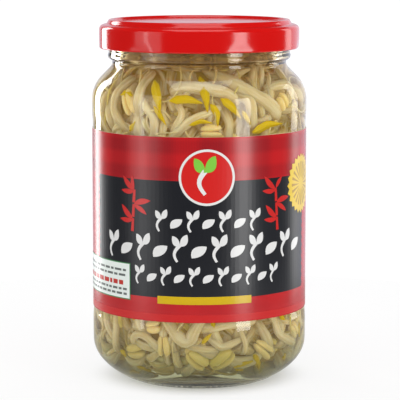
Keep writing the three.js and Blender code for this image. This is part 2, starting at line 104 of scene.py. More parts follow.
# Label: its paper, and the printed fields on it
LABEL_BOTTOM = 24.9
LABEL_TOP = 86.4
LABEL_INNER = 36.55
LABEL_OUTER = 36.75
LABEL_SEAM_GAP = 4.0
HALF_WRAP = math.pi * LABEL_OUTER - LABEL_SEAM_GAP / 2
INK = 0.02
INK_STEP = 1.5
CHECK_WIDTH = 17.0
CHECK_HEIGHT = 9.0
WEAVE_WIDTH = math.tau / 7
BLACK_BOTTOM = 33.0
BLACK_TOP = 72.0
BLACK_LEFT = -66
BLACK_RIGHT = 71
DESIGN_CENTRE = 4
ROUNDEL_HEIGHT = 73.2
ROUNDEL_RADIUS = 9.3
ROUNDEL_RIM = 0.8
SEAL_PLACE = (69, 68.5)
SEAL_RADIUS = 9.6
PANEL_ENDS = (-96, -38.5)
PANEL_HEIGHTS = (31.2, 43.6)
PANEL_EDGE = 0.35
BAR_ENDS = (-22, 28)
BAR_HEIGHTS = (31.0, 33.6)
SMALL_PRINT_SEED = 88

# Fill
BRINE_LEVEL = 117.0
BRINE_CLEARANCE = 0.12
BRINE_IOR = 1.333
SPROUT_INSIDE = 1.4
HEAP_EDGE = 111.5
HEAP_TOP = 115.4
CORE_DEPTH = 5.8
CORE_DEPTH_BELOW = 4.6
CORE_LOW = 16
CORE_RISE = 18
CORE_DROP = 2.6
DROP_LOW = 10
DROP_RISE = 8
SHALLOW_BELOW = 32
SHALLOW_FADE = 16
# Painted shade of the lid: how much deeper in colour the sprouts in the neck are made
NECK_PAINTED_SHADE = 0.25
SPROUT_SEED = 20613
DRESSING_SEED = 4711
FIRST_SPROUTS = 32
SHORTEST_SPROUT = 32
SPROUT_LENGTHS = 30
MOST_BEND = 0.09
LEAST_SWAY = 0.06
MORE_SWAY = 0.08
HEADED_SHARE = 0.4
STEM_STEP = 2.0
STEM_OVERLAP = 1.3
STEM_FLATNESS = 0.9
STEM_EXTRA = 5.0
LEAF_EXTRA = 1.2
LEAF_THICKNESS = 0.7
DEEPEST_BEHIND = 6.5
END_SINK = 7.0
END_DEPTH = 3.2
THICKNESS_ALONG = ((0, 0.12, 0.45, 0.8, 1), (0.8, 1.0, 1.05, 0.68, 0.3))

# The part's own sprouts and the later ones: their length and bending beside the rule's, the thinnest, and how
# much thicker the others may be
FIRST_KIND = (1.0, 1.0, 3.0, 1.1)
LATER_KIND = (1.35, 0.75, 2.1, 2.5)

SPROUT_TRIES = 700
ROOTS = 110
INNER_SPROUTS = 260

# Camera, found by fitting the ellipses of the lid, label and foot in the photograph
CAMERA_DISTANCE = 680.3
CAMERA_HEIGHT = 154.5
CAMERA_PITCH = 7.84
FOCAL_LENGTH = 178.9
SENSOR = 36.0
AXIS_SHIFT = 0.002

# Light: how bright the surroundings are when seen, as soft light, and as mirrored by glossy things
SEEN_WORLD = 1.05
SOFT_WORLD = 0.58
MIRRORED_WORLD = 0.06
FLOOR_GLOW = 0.82
MIRRORED_FLOOR = 0.5
FLOOR_RADIUS = 200
SPOT_GLOW = 0.25

# Lamps: degrees to the right of the front, height, distance, width and tallness in metres, and brightness
LAMPS = [
    ("left box", -60, 0.15, 0.9, 0.55, 0.9, 1.2),
    ("left window", -62, 0.1, 0.9, 0.07, 0.7, 3),
    ("right box", 47, 0.1, 0.9, 0.25, 0.7, 6.5),
    ("rear left strip", -138, 0.1, 0.8, 0.22, 0.8, 6.5),
    ("rear right strip", 122, 0.1, 0.8, 0.2, 0.8, 2.6),
    ("top box", 0, 1.2, 0.25, 0.9, 0.9, 2.4),
]
LAMP_AIM = 0.07

# Dim walls in the same terms, which the jar mirrors and the camera doesn't see
WALLS = [
    ("rear right wall", 150, 0.05, 1.5, 1.0, 1.6, 1.1),
    ("back wall", 187, 0.05, 1.5, 1.0, 1.6, 0.75),
]
WALL_TINT = (0.86, 0.88, 1.0)


# Profiles and meshes


def arc(centre, radius_r, radius_z, start, end, steps):
    """Points of an arc of an ellipse in the profile plane, its angles in degrees from the +r axis."""
    points = []
    for i in range(steps + 1):
        a = math.radians(start + (end - start) * i / steps)
        points.append((centre[0] + radius_r * math.cos(a), centre[1] + radius_z * math.sin(a)))
    return points


def softened(profile, rounds=2):
    """The profile with its corners cut off again and again, its two ends kept."""
    points = [Vector(p) for p in profile]
    for _ in range(rounds):
        cut = [points[0]]
        for a, b in zip(points, points[1:]):
            cut += [a.lerp(b, 0.25), a.lerp(b, 0.75)]
        points = cut + [points[-1]]
    return [(p.x, p.y) for p in points]


def headings(points):
    """Which way a line of points runs at each of them."""
    ways = []
    for i in range(len(points)):
        before = Vector(points[max(i - 1, 0)])
        after = Vector(points[min(i + 1, len(points) - 1)])
        ways.append((after - before).normalized())
    return ways


def beside(profile, distance):
    """The profile moved to its left hand as it runs. Points on the axis stay on it."""
    moved = []
    for (r, z), along in zip(profile, headings(profile)):
        moved.append((0.0 if r == 0 else r - along.y * distance, z + along.x * distance))
    return moved


def at(degrees, radius, height):
    """A place from degrees to the right of the front, a radius and a height in one unit."""
    a = math.radians(degrees)
    return Vector((radius * math.sin(a), -radius * math.cos(a), height))


def eased(share):
    """0 to 1 with a soft start and end."""
    share = min(max(share, 0.0), 1.0)
    return share * share * (3 - 2 * share)


def unit(vectors):
    """Vectors, or a single one, brought to length 1."""
    return vectors / np.linalg.norm(vectors, axis=-1, keepdims=True)


def in_scene(name, data):
    """A new object of the scene that shows some data."""
    obj = bpy.data.objects.new(name, data)
    bpy.context.scene.collection.objects.link(obj)
    return obj


def mesh_object(name, vertices, faces, materials, sharp=None):
    """A mesh object from vertices in millimetres, smooth but for edges sharper than the given degrees."""
    mesh = bpy.data.meshes.new(name)
    mesh.from_pydata([Vector(v) * MM for v in vertices], [], faces)
    mesh.validate()
    for material in materials:
        mesh.materials.append(material)
    mesh.shade_smooth()
    if sharp:
        mesh.set_sharp_from_angle(angle=math.radians(sharp))
    return in_scene(name, mesh)


def lathe_data(profile, segments):
    """Vertices and faces of a profile turned round the axis. One that ends off the axis closes on itself."""
    rows = []
    vertices = []
    for r, z in profile:
        if r < 1e-6:
            rows.append([len(vertices)] * segments)
            vertices.append((0, 0, z))
            continue
        rows.append(list(range(len(vertices), len(vertices) + segments)))
        for k in range(segments):
            a = math.tau * k / segments
            vertices.append((r * math.cos(a), r * math.sin(a), z))
    if profile[0][0] > 1e-6:
        rows.append(rows[0])
    faces = []
    for low, high in zip(rows, rows[1:]):
        for k in range(segments):
            n = (k + 1) % segments
            corners = [low[k], low[n], high[n], high[k]]
            face = [c for i, c in enumerate(corners) if c != corners[i - 1]]
            if len(face) > 2:
                faces.append(face)
    return vertices, faces


def joined_data(pieces):
    """One list of vertices and faces from several."""
    vertices = []
    faces = []
    for more_vertices, more_faces in pieces:
        start = len(vertices)
        vertices += list(more_vertices)
        faces += [[i + start for i in face] for face in more_faces]
    return vertices, faces


def swept_data(rings):
    """A closed skin through rings of equal numbers of points, capped at both ends."""
    count = len(rings[0])
    vertices = [v for ring in rings for v in ring]
    faces = []
    for i in range(len(rings) - 1):
        for k in range(count):
            n = (k + 1) % count
            faces.append([i * count + k, i * count + n, (i + 1) * count + n, (i + 1) * count + k])
    faces.append(list(range(count))[::-1])
    faces.append([(len(rings) - 1) * count + k for k in range(count)])
    return vertices, faces


# Jar outlines


def jar_outside():
    """From the middle of the underside out and up to the mouth."""
    shoulder = (JAR_RADIUS - SHOULDER_ARC, SHOULDER_START)
    return [
        (0, PUSH_UP),
        (12, PUSH_UP * 0.92),
        (19, PUSH_UP * 0.6),
        (FOOT_INNER_RADIUS, 0),
        (FOOT_RADIUS, 0),
        *arc((11, HEEL_TOP + 0.06), JAR_RADIUS - 11, 15.6, -59.2, 0, 9),
        (JAR_RADIUS, LABEL_BOTTOM - 2.6),
        (LABEL_PANEL_RADIUS, LABEL_BOTTOM - 0.9),
        (LABEL_PANEL_RADIUS, LABEL_TOP + 1.8),
        (JAR_RADIUS, LABEL_TOP + 5.2),
        *arc(shoulder, SHOULDER_ARC, SHOULDER_ARC, 0, 45, 5),
        (30.35, NECK_BASE - 1.15),
        (NECK_RADIUS + 0.12, NECK_BASE - 0.35),
        (NECK_RADIUS, NECK_BASE),
        (NECK_RADIUS, BEAD_HEIGHT - 1.9),
        (NECK_RADIUS + 0.1, BEAD_HEIGHT - 1.6),
        (BEAD_RADIUS - 0.35, BEAD_HEIGHT - 0.9),
        (BEAD_RADIUS, BEAD_HEIGHT),
        (BEAD_RADIUS - 0.25, BEAD_HEIGHT + 0.9),
        (FINISH_RADIUS, BEAD_HEIGHT + 1.4),
        (FINISH_RADIUS, RIM_HEIGHT - 1.0),
        (FINISH_RADIUS - 0.9, RIM_HEIGHT),
        (BORE_RADIUS + 1.2, RIM_HEIGHT),
        (BORE_RADIUS, RIM_HEIGHT - 1.2),
    ]


def cavity():
    """The room inside the jar, from the middle of its floor out and up into the neck."""
    shoulder = (JAR_RADIUS - SHOULDER_ARC, SHOULDER_START)
    inner_arc = INNER_RADIUS - shoulder[0]
    return [
        (0, FLOOR_HEIGHT),
        *arc((22.5, INNER_HEEL_TOP), INNER_RADIUS - 22.5, INNER_HEEL_TOP - 5, -90, 0, 5),
        *arc(shoulder, inner_arc, inner_arc, 0, 45, 4),
        (27.95, 106.3),
        (BORE_RADIUS, NECK_BASE),
    ]


def radius_at(profile, height):
    """The profile's outermost radius at a height."""
    best = 0.0
    for (r0, z0), (r1, z1) in zip(profile, profile[1:]):
        if min(z0, z1) <= height <= max(z0, z1) and z1 != z0:
            best = max(best, r0 + (r1 - r0) * (height - z0) / (z1 - z0))
    return best


# Shader helpers

# The inputs and the output of a Mix node that carry colours
MIX_FIRST = 6
MIX_SECOND = 7
MIX_RESULT = 2


def feed(tree, socket, value):
    """Links an output to an input, or sets the input. A colour is given as three numbers."""
    if isinstance(value, bpy.types.NodeSocket):
        tree.links.new(value, socket)
    elif socket.type == "RGBA":
        socket.default_value = (*value, 1.0)
    else:
        socket.default_value = value


def node(tree, kind, inputs=None, **settings):
    """A new shader node with its settings, and its inputs given by name or index."""
    made = tree.nodes.new("ShaderNode" + kind)
    for name, value in settings.items():
        setattr(made, name, value)
    for name, value in (inputs or {}).items():
        feed(tree, made.inputs[name], value)
    return made


def new_material(name, look):
    """A material, its node tree and its main shader, whose inputs are given by name."""
    material = bpy.data.materials.new(name)
    material.use_nodes = True
    tree = material.node_tree
    shader = tree.nodes["Principled BSDF"]
    for socket, value in look.items():
        feed(tree, shader.inputs[socket], value)
    return material, tree, shader


def maths(tree, operation, *values, clamp=False):
    """The outcome of a sum on numbers and outputs."""
    return node(tree, "Math", dict(enumerate(values)), operation=operation, use_clamp=clamp).outputs[0]


def mixed(tree, factor, first, second, blend="MIX"):
    """A colour between two, each a colour or an output, by a factor."""
    inputs = {"Factor": factor, MIX_FIRST: first, MIX_SECOND: second}
    return node(tree, "Mix", inputs, data_type="RGBA", blend_type=blend).outputs[MIX_RESULT]


def tinted(tree, factor, colour, tint):
    """A colour multiplied by a tint, by a factor."""
    return mixed(tree, factor, colour, tint, "MULTIPLY")


def attribute(tree, name, output):
    """An output of a named attribute of the mesh."""
    return node(tree, "Attribute", attribute_name=name).outputs[output]


def object_place(tree):
    """The place on the object, in metres."""
    return node(tree, "TexCoord").outputs["Object"]


def noise(tree, place, scale, detail):
    """Noise with a scale in cells a unit of its place."""
    return node(tree, "TexNoise", {"Vector": place, "Scale": scale, "Detail": detail}).outputs["Fac"]


def bump(tree, height, strength, distance):
    """A normal turned by the slopes of a height, its distance in metres."""
    inputs = {"Height": height, "Strength": strength, "Distance": distance}
    return node(tree, "Bump", inputs).outputs["Normal"]


def soft_share(tree, value, start, end, first=0.0, last=1.0):
    """The first number softly turning into the last one while a length goes from start to end."""
    inputs = {"Value": value, "From Min": start * MM, "From Max": end * MM, "To Min": first, "To Max": last}
    return node(tree, "MapRange", inputs, interpolation_type="SMOOTHSTEP").outputs["Result"]


def height_share(tree, from_height, to_height):
    """0 to 1 softly between two heights, of which either may be the lower one."""
    height = node(tree, "SeparateXYZ", {"Vector": object_place(tree)}).outputs["Z"]
    if from_height < to_height:
        return soft_share(tree, height, from_height, to_height)
    return soft_share(tree, height, to_height, from_height, 1.0, 0.0)


def seen_rays(tree):
    """1 for rays that show a thing to the camera, straight or through glass, and 0 for all others."""
    path = node(tree, "LightPath").outputs
    return maths(tree, "MAXIMUM", path["Is Camera Ray"], path["Is Transmission Ray"])


def mixed_shaders(tree, factor, first, second):
    """A shader between two, by a factor."""
    return node(tree, "MixShader", {"Fac": factor, 1: first.outputs[0], 2: second.outputs[0]})


def show(tree, shader):
    """Makes a shader the one that the surface shows."""
    feed(tree, tree.nodes["Material Output"].inputs["Surface"], shader.outputs[0])


def let_light_through(tree, shader, tint):
    """Light on its way to what is behind the surface passes straight through it."""
    path = node(tree, "LightPath").outputs
    passing = maths(tree, "MAXIMUM", path["Is Shadow Ray"], path["Is Diffuse Ray"])
    clear = node(tree, "BsdfTransparent", {"Color": tint})
    show(tree, mixed_shaders(tree, passing, shader, clear))


# Materials


def glass_material(name, ior, tint, heel_tint_and_shade=None, neck_shade_tint=None):
    """Clear glass or brine. Given tints, the thick heel shows more colour with painted shade, the neck painted
    shade.
    """
    look = {"Base Color": tint, "Roughness": 0.0, "IOR": ior, "Transmission Weight": 1.0}
    material, tree, shader = new_material(name, look)
    # The heel: the thick glass's own colour and painted shade; the neck: painted shade of the lid, in amber
    if heel_tint_and_shade:
        above_heel = height_share(tree, FLOOR_HEIGHT, HEEL_TOP - 3)
        underside = height_share(tree, PUSH_UP + 1.4, PUSH_UP + 0.2)
        neck_shade_share = height_share(tree, NECK_BASE - 1, HEAP_EDGE)
        colour = mixed(tree, above_heel, heel_tint_and_shade, tint)
        colour = mixed(tree, underside, colour, tint)
        feed(tree, shader.inputs["Base Color"], mixed(tree, neck_shade_share, colour, neck_shade_tint))
    let_light_through(tree, shader, tint)
    return material


def clear_glass():
    """The jar's glass against air."""
    return glass_material("glass", GLASS_IOR, (0.955, 0.975, 0.95), (0.34, 0.36, 0.24), (0.8, 0.68, 0.46))


def wetted_glass():
    """The jar's glass against brine."""
    return glass_material("glass against brine", GLASS_IOR / BRINE_IOR, (0.98, 0.985, 0.97))


def brine_body():
    """Brine against glass. It only tints, because the wetted glass bends the light."""
    return glass_material("brine", 1.0, (0.985, 0.955, 0.83))


def brine_surface():
    """Brine against air."""
    return glass_material("brine surface", BRINE_IOR, (0.99, 0.98, 0.92))


def lid_enamel():
    """Glossy red enamel, very slightly uneven as on rolled sheet."""
    look = {
        "Base Color": (0.6, 0.003, 0.002),
        "Roughness": 0.16,
        "Specular IOR Level": 0.4,
        "Coat Weight": 0.3,
        "Coat Roughness": 0.1,
    }
    material, tree, shader = new_material("red lid enamel", look)
    uneven = noise(tree, object_place(tree), 260, 3.0)
    feed(tree, shader.inputs["Normal"], bump(tree, uneven, 0.03, 0.0005))
    return material


def lid_lacquer():
    """The gold lacquered inside of the lid."""
    look = {"Base Color": (0.56, 0.4, 0.13), "Metallic": 0.6, "Roughness": 0.35}
    return new_material("lid lacquer", look)[0]


def sealing_compound():
    """The pale rubbery ring inside the lid."""
    return new_material("sealing compound", {"Base Color": (0.8, 0.77, 0.68), "Roughness": 0.55})[0]


def ink(name, colour, roughness=0.3):
    """One even colour of print."""
    return new_material(name, {"Base Color": colour, "Roughness": roughness})[0]


def label_red():
    """Red print with a soft darker woven check, made from bands round the jar and bands along it."""
    material, tree, shader = new_material("label red", {"Roughness": 0.25})
    place = node(tree, "SeparateXYZ", {"Vector": node(tree, "UVMap", uv_map="print").outputs["UV"]})
    wrap, height = place.outputs["X"], place.outputs["Y"]

    def wave(coordinate, width):
        """A wave that repeats after a width in millimetres."""
        return maths(tree, "SINE", maths(tree, "MULTIPLY", coordinate, math.tau / width))

    across = maths(tree, "MULTIPLY_ADD", wave(wrap, CHECK_WIDTH), 0.9, 0.5, clamp=True)
    along = maths(tree, "MULTIPLY_ADD", wave(height, CHECK_HEIGHT), 0.9, 0.5, clamp=True)
    check = maths(tree, "MULTIPLY", maths(tree, "ADD", across, along), 0.36)
    check = maths(tree, "MULTIPLY_ADD", wave(wrap, WEAVE_WIDTH), 0.05, check)
    above_black = maths(tree, "GREATER_THAN", height, BLACK_TOP)
    strength = maths(tree, "MULTIPLY_ADD", above_black, 0.65, 0.25)
    strength = maths(tree, "MULTIPLY", check, strength, clamp=True)
    feed(tree, shader.inputs["Base Color"], mixed(tree, strength, (0.5, 0.007, 0.01), (0.2, 0.005, 0.01)))
    return material


def label_back():
    """The bare paper of the label's inner side and edges."""
    return ink("label paper back", (0.78, 0.77, 0.74), 0.7)


def sprout_colouring():
    """Wet streaked sprouts, pale at the glass and deeper in colour further in, in the neck and low down:
    painted shade.
    """
    group = bpy.data.node_groups.new("sprout colouring", "ShaderNodeTree")
    sockets = [
        ("Pale", "INPUT", "Color"),
        ("Deep", "INPUT", "Color"),
        ("Fibre sheen", "INPUT", "Float"),
        ("Colour", "OUTPUT", "Color"),
        ("Normal", "OUTPUT", "Vector"),
    ]
    for name, way, kind in sockets:
        group.interface.new_socket(name, in_out=way, socket_type="NodeSocket" + kind)
    given = group.nodes.new("NodeGroupInput").outputs
    made = group.nodes.new("NodeGroupOutput").inputs
    streaks = noise(group, attribute(group, "grain", "Vector"), 1.0, 4.0)
    patches = noise(group, object_place(group), 130, 3.0)
    shade = attribute(group, "shade", "Fac")
    # Further in, the colour turns to the deep one: painted shade between the sprouts, and the brine's tint
    fade = maths(group, "MULTIPLY", attribute(group, "depth", "Fac"), 1.7)
    for source, weight in ((shade, 0.3), (patches, 0.8), (streaks, 0.5)):
        fade = maths(group, "MULTIPLY_ADD", source, weight, fade)
    fade = maths(group, "SUBTRACT", fade, 0.85, clamp=True)
    body = mixed(group, fade, given["Pale"], given["Deep"])
    yellowed = maths(group, "MULTIPLY_ADD", shade, 3.0, -2.1, clamp=True)
    body = tinted(group, yellowed, body, (0.92, 0.98, 0.55))
    # Whitish fibres on the stems, partly real and partly a painted highlight
    fibres = maths(group, "MULTIPLY_ADD", streaks, 3.0, -1.2, clamp=True)
    fibre_sheen = maths(group, "MULTIPLY", fibres, given["Fibre sheen"])
    body = mixed(group, fibre_sheen, body, (0.8, 0.74, 0.6))
    # Painted shade of the lid over the sprouts in the neck
    neck_shade_share = height_share(group, SHOULDER_START + 4, NECK_BASE + 2)
    body = tinted(group, neck_shade_share, body, (0.62, 0.5, 0.36))
    # Painted shade low down, near the foot of the jar
    foot_shade_share = height_share(group, LABEL_BOTTOM, FLOOR_HEIGHT + 1)
    feed(group, made["Colour"], tinted(group, foot_shade_share, body, (0.52, 0.56, 0.46)))
    feed(group, made["Normal"], bump(group, maths(group, "ADD", streaks, patches), 0.35, 0.0003))
    return group


def sprout_flesh(name, colouring, pale, deep, fibre_sheen, gloss=0.28, glow=0.8, painted_glow=0.2):
    """Wet translucent flesh between a pale and a deep colour, with a faint painted glow for what shines
    through the jar.
    """
    look = {
        "Roughness": gloss,
        "IOR": 1.38,
        "Specular IOR Level": 0.2,
        "Subsurface Weight": glow,
        "Subsurface Radius": (1.0, 0.72, 0.35),
        "Subsurface Scale": 0.003,
        # A faint painted glow in the flesh's own colour, standing in for light shining through the jar
        "Emission Strength": painted_glow,
    }
    material, tree, shader = new_material(name, look)
    group = node(tree, "Group", node_tree=colouring)
    for socket, value in (("Pale", pale), ("Deep", deep), ("Fibre sheen", fibre_sheen)):
        feed(tree, group.inputs[socket], value)
    for socket, output in (("Base Color", "Colour"), ("Emission Color", "Colour"), ("Normal", "Normal")):
        feed(tree, shader.inputs[socket], group.outputs[output])
    return material


def stem_flesh(colouring):
    """Ivory stems."""
    return sprout_flesh("sprout flesh", colouring, (0.57, 0.455, 0.27), (0.34, 0.205, 0.034), 0.55)


def seed_flesh(colouring):
    """Creamy yellow seed halves."""
    return sprout_flesh("seed halves", colouring, (0.72, 0.55, 0.25), (0.46, 0.3, 0.08), 0.25)


def leaf_flesh(colouring):
    """Strong yellow first leaves, thin and little clouded."""
    colours = (0.64, 0.42, 0.002), (0.42, 0.27, 0.003)
    # The leaves' painted glow, for light through the jar, is fainter
    return sprout_flesh("first leaves", colouring, *colours, 0.05, gloss=0.3, glow=0.3, painted_glow=0.12)


def root_flesh(colouring):
    """Fine roots, a little paler than the stems."""
    return sprout_flesh("fine roots", colouring, (0.62, 0.48, 0.27), (0.38, 0.23, 0.07), 0.2)


def core_flesh(colouring):
    """The dim brown mass deep inside, its dark colours painted shade among the sprouts."""
    return sprout_flesh("inner sprouts", colouring, (0.4, 0.26, 0.06), (0.28, 0.17, 0.03), 0.1, gloss=0.6)


def floor_material():
    """A pale floor, nearly shadowless as on a light table but for a painted shadow under the jar, mirrored
    dimly.
    """
    material, tree, shader = new_material("pale floor", {"Base Color": (0.85, 0.85, 0.85), "Roughness": 0.7})
    seen = seen_rays(tree)
    mirrored = node(tree, "LightPath").outputs["Is Glossy Ray"]
    lit = node(tree, "Emission", {"Strength": maths(tree, "MAXIMUM", seen, MIRRORED_FLOOR)})
    from_middle = node(tree, "VectorMath", {0: object_place(tree)}, operation="LENGTH").outputs["Value"]
    # Near the jar the glow is turned down: a painted shadow round and under its foot
    clear_of_jar = soft_share(tree, from_middle, FOOT_INNER_RADIUS, JAR_RADIUS + 3, SPOT_GLOW)
    glow = maths(tree, "MULTIPLY", clear_of_jar, FLOOR_GLOW)
    share = maths(tree, "MULTIPLY", maths(tree, "MAXIMUM", seen, mirrored), glow)
    top = mixed_shaders(tree, share, shader, lit)
    underside = node(tree, "NewGeometry").outputs["Backfacing"]
    show(tree, mixed_shaders(tree, underside, top, node(tree, "BsdfTransparent")))
    return material


# Jar


def thread_data(index):
    """One thread ramp of the finish, rounded and faded in at both ends."""
    steps = 28
    middle = FIRST_LUG + 360 * index / LUGS
    section = [(-0.5, 0.0), (0.55, 0.1), (0.95, 0.35), (1.0, 0.75), (0.7, 1.2), (-0.5, THREAD_THICKNESS)]
    rings = []
    for i in range(steps + 1):
        share = i / steps
        degrees = middle - THREAD_SPAN[0] - (THREAD_SPAN[1] - THREAD_SPAN[0]) * share
        full = min(1.0, 6 * share + 0.15, 6 * (1 - share) + 0.15)
        reach = (THREAD_RADIUS - FINISH_RADIUS) * full
        low = THREAD_LOW + THREAD_RISE * share
        ring = []
        for r, z in section:
            out = FINISH_RADIUS + (r * reach if r > 0 else r)
            ring.append(at(degrees, out, low + z))
        rings.append(ring)
    return swept_data(rings)


def knurl_data(index):
    """One of the small raised dots that ring the foot."""
    degrees = 360 * index / KNURLS
    centre = at(degrees, KNURL_RING, KNURL_HEIGHT)
    out = at(degrees, 1, 0)
    across = Vector((-out.y, out.x, 0))
    rings = []
    for i in range(5):
        tilt = math.radians(-60 + 30 * i)
        ring = []
        for k in range(8):
            turn = math.tau * k / 8
            outward = math.cos(turn) * math.cos(tilt) * 0.75
            sideways = math.sin(turn) * math.cos(tilt) * 0.55
            raised = 0.5 * math.sin(tilt)
            place = centre + out * (outward + raised) + across * sideways
            ring.append(place + Vector((0, 0, outward * 0.75 - raised)))
        rings.append(ring)
    return swept_data(rings)


def glass_jar():
    """The jar's wall with its threads and knurls, and wetted glass wherever brine lies on the wall."""
    outside = softened(jar_outside())
    inside = softened(cavity())[::-1]
    wall = lathe_data(outside + inside, JAR_SEGMENTS)
    pieces = [wall]
    pieces += [thread_data(i) for i in range(LUGS)]
    pieces += [knurl_data(i) for i in range(KNURLS)]
    obj = mesh_object("glass_jar_fine", *joined_data(pieces), [clear_glass(), wetted_glass()], sharp=50)
    first_inside = 1 + (len(outside) - 2) * JAR_SEGMENTS
    for face in obj.data.polygons[: len(wall[1])]:
        under_brine = all(obj.data.vertices[i].co.z < BRINE_LEVEL * MM for i in face.vertices)
        if under_brine and min(face.vertices) >= first_inside:
            face.material_index = 1
    return obj


# Lid


def lid_top_profile():
    """From the middle of the top panel out and down the skirt."""
    ledge = LID_TOP - 1.6
    panel = LID_TOP - LID_PANEL_DROP
    return [
        (0, panel - 0.25),
        (9.5, panel - 0.22),
        (11, panel - 0.02),
        (12, panel),
        (28.6, panel),
        (29.0, panel + 0.02),
        (29.6, LID_TOP - 0.08),
        (29.9, LID_TOP),
        (30.5, LID_TOP),
        (30.9, LID_TOP - 0.15),
        (31.6, ledge + 0.15),
        (32.0, ledge),
        (32.7, ledge - 0.08),
        (33.6, ledge - 0.45),
        (LID_RADIUS - 0.03, ledge - 1.25),
        (LID_RADIUS, ledge - 2.2),
        (LID_RADIUS, LID_BOTTOM + 1.6),
        (LID_RADIUS, LID_BOTTOM + 0.75),
    ]


def lid_lug_data(index):
    """A lug pressed inward from the curl, deepest in its middle."""
    middle = FIRST_LUG + 360 * index / LUGS
    rings = []
    for i in range(13):
        share = i / 12
        degrees = middle + LUG_HALF_ANGLE * (2 * share - 1)
        full = math.sin(math.pi * (0.08 + 0.84 * share)) ** 0.5
        inner = LID_RADIUS - 0.9 - (LID_RADIUS - 0.9 - FINISH_RADIUS - 0.55) * full
        low = LID_BOTTOM + 0.35
        ring = [
            at(degrees, LID_RADIUS - 0.35, low),
            at(degrees, inner + 0.4, low + 0.25),
            at(degrees, inner, low + 0.6),
            at(degrees, inner + 0.1, low + 1.1),
            at(degrees, inner + 0.6, low + 1.4),
            at(degrees, LID_RADIUS - 0.35, low + 1.4),
        ]
        rings.append(ring)
    return swept_data(rings)


def pressed_at_lugs(vertices):
    """The foot of the skirt is pressed in a little where each lug is formed."""
    spacing = 360 / LUGS
    moved = []
    for x, y, z in vertices:
        radius = math.hypot(x, y)
        degrees = math.degrees(math.atan2(x, -y))
        from_lug = (degrees - FIRST_LUG + spacing / 2) % spacing - spacing / 2
        low = eased((LID_BOTTOM + 3.6 - z) / 3.0)
        outer = eased((radius - LID_RADIUS + 2) / 1.2)
        dent = LUG_DENT * low * outer * math.exp(-((from_lug / LUG_HALF_ANGLE) ** 2))
        scale = 1 - dent / max(radius, 1)
        moved.append((x * scale, y * scale, z))
    return moved


def lid():
    """The lid's sheet, enamelled outside and lacquered inside, with its lugs."""
    top = softened(lid_top_profile(), 2)
    curl_centre = (LID_RADIUS - CURL_RADIUS, LID_BOTTOM + CURL_RADIUS)
    curl = arc(curl_centre, CURL_RADIUS, CURL_RADIUS, -10, -250, 12)
    under = beside(softened(lid_top_profile()[:-1], 2), -LID_SHEET)
    under = [(min(r, LID_RADIUS - LID_SHEET), z) for r, z in under]
    shell = lathe_data(top + curl + under[::-1], LID_SEGMENTS)
    vertices, faces = joined_data([shell, *[lid_lug_data(i) for i in range(LUGS)]])
    finishes = [lid_enamel(), lid_lacquer()]
    obj = mesh_object("lid_fine", pressed_at_lugs(vertices), faces, finishes, sharp=60)
    first_lacquered = (len(top) + len(curl) - 2) * LID_SEGMENTS
    for face in obj.data.polygons[: len(shell[1])]:
        if min(face.vertices) >= first_lacquered:
            face.material_index = 1
    return obj


# Label and its print


def on_label(s, z, out):
    """A place on the label from millimetres along the wrap to the right of the front, and a height."""
    a = s / LABEL_OUTER
    r = LABEL_OUTER + out
    return Vector((r * math.sin(a), -r * math.cos(a), z))


def along_wrap(degrees):
    """Millimetres along the wrap from degrees to the right of the front."""
    return math.radians(degrees) * LABEL_OUTER


def printed(name, outlines, material, layer=1):
    """A patch of ink on the label. An outline is a list of (along the wrap, height) in millimetres."""
    mesh = bmesh.new()
    for outline in outlines:
        corners = [mesh.verts.new((s, z, 0)) for s, z in outline]
        for triangle in tessellate_polygon([[Vector((s, z, 0)) for s, z in outline]]):
            mesh.faces.new([corners[i] for i in triangle])
    lows = [v.co.x for v in mesh.verts]
    cut = math.ceil(min(lows) / INK_STEP) * INK_STEP
    while cut < max(lows):
        everything = [*mesh.verts, *mesh.edges, *mesh.faces]
        bmesh.ops.bisect_plane(mesh, geom=everything, plane_co=(cut, 0, 0), plane_no=(1, 0, 0))
        cut += INK_STEP
    bmesh.ops.recalc_face_normals(mesh, faces=mesh.faces)
    for vertex in mesh.verts:
        vertex.co = on_label(vertex.co.x, vertex.co.y, INK * layer) * MM
    for face in mesh.faces:
        centre = face.calc_center_median()
        if face.normal.dot(Vector((centre.x, centre.y, 0))) < 0:
            face.normal_flip()
    data = bpy.data.meshes.new(name)
    mesh.to_mesh(data)
    mesh.free()
    data.materials.append(material)
    return in_scene(name, data)


def label_paper():
    """The strip of paper round the label panel, red print outside and bare inside."""
    inner = LABEL_INNER - LABEL_OUTER
    section = [(0, LABEL_BOTTOM), (0, LABEL_TOP), (inner, LABEL_TOP), (inner, LABEL_BOTTOM)]
    steps = 180
    along = [HALF_WRAP * (2 * i / steps - 1) for i in range(steps + 1)]
    rings = [[on_label(s, z, out) for out, z in section] for s in along]
    vertices, faces = swept_data(rings)
    obj = mesh_object("label_paper", vertices, faces, [label_red(), label_back()], sharp=30)
    wrap = obj.data.uv_layers.new(name="print")
    for face in obj.data.polygons:
        outer = True
        for corner in face.loop_indices:
            index = obj.data.loops[corner].vertex_index
            height = obj.data.vertices[index].co.z / MM
            wrap.data[corner].uv = (along[index // len(section)], height)
            outer = outer and index % len(section) in (0, 1)
        if not outer:
            face.material_index = 1
    return obj


def zigzag(side, degrees, low, high, teeth):
    """The torn-looking side of the black field: small waves from low to high."""
    points = []
    for i in range(2 * teeth + 1):
        z = low + (high - low) * i / (2 * teeth)
        points.append((along_wrap(degrees) + side * (0.5 if i % 2 else -0.2), z))
    return points


def black_field():
    """The black middle of the label, between its two zigzag sides."""
    left = zigzag(-1, BLACK_LEFT, BLACK_BOTTOM, BLACK_TOP, 15)
    right = zigzag(1, BLACK_RIGHT, BLACK_BOTTOM, BLACK_TOP, 15)
    return printed("print_black_field", [left + right[::-1]], ink("label black", (0.011, 0.012, 0.016)))


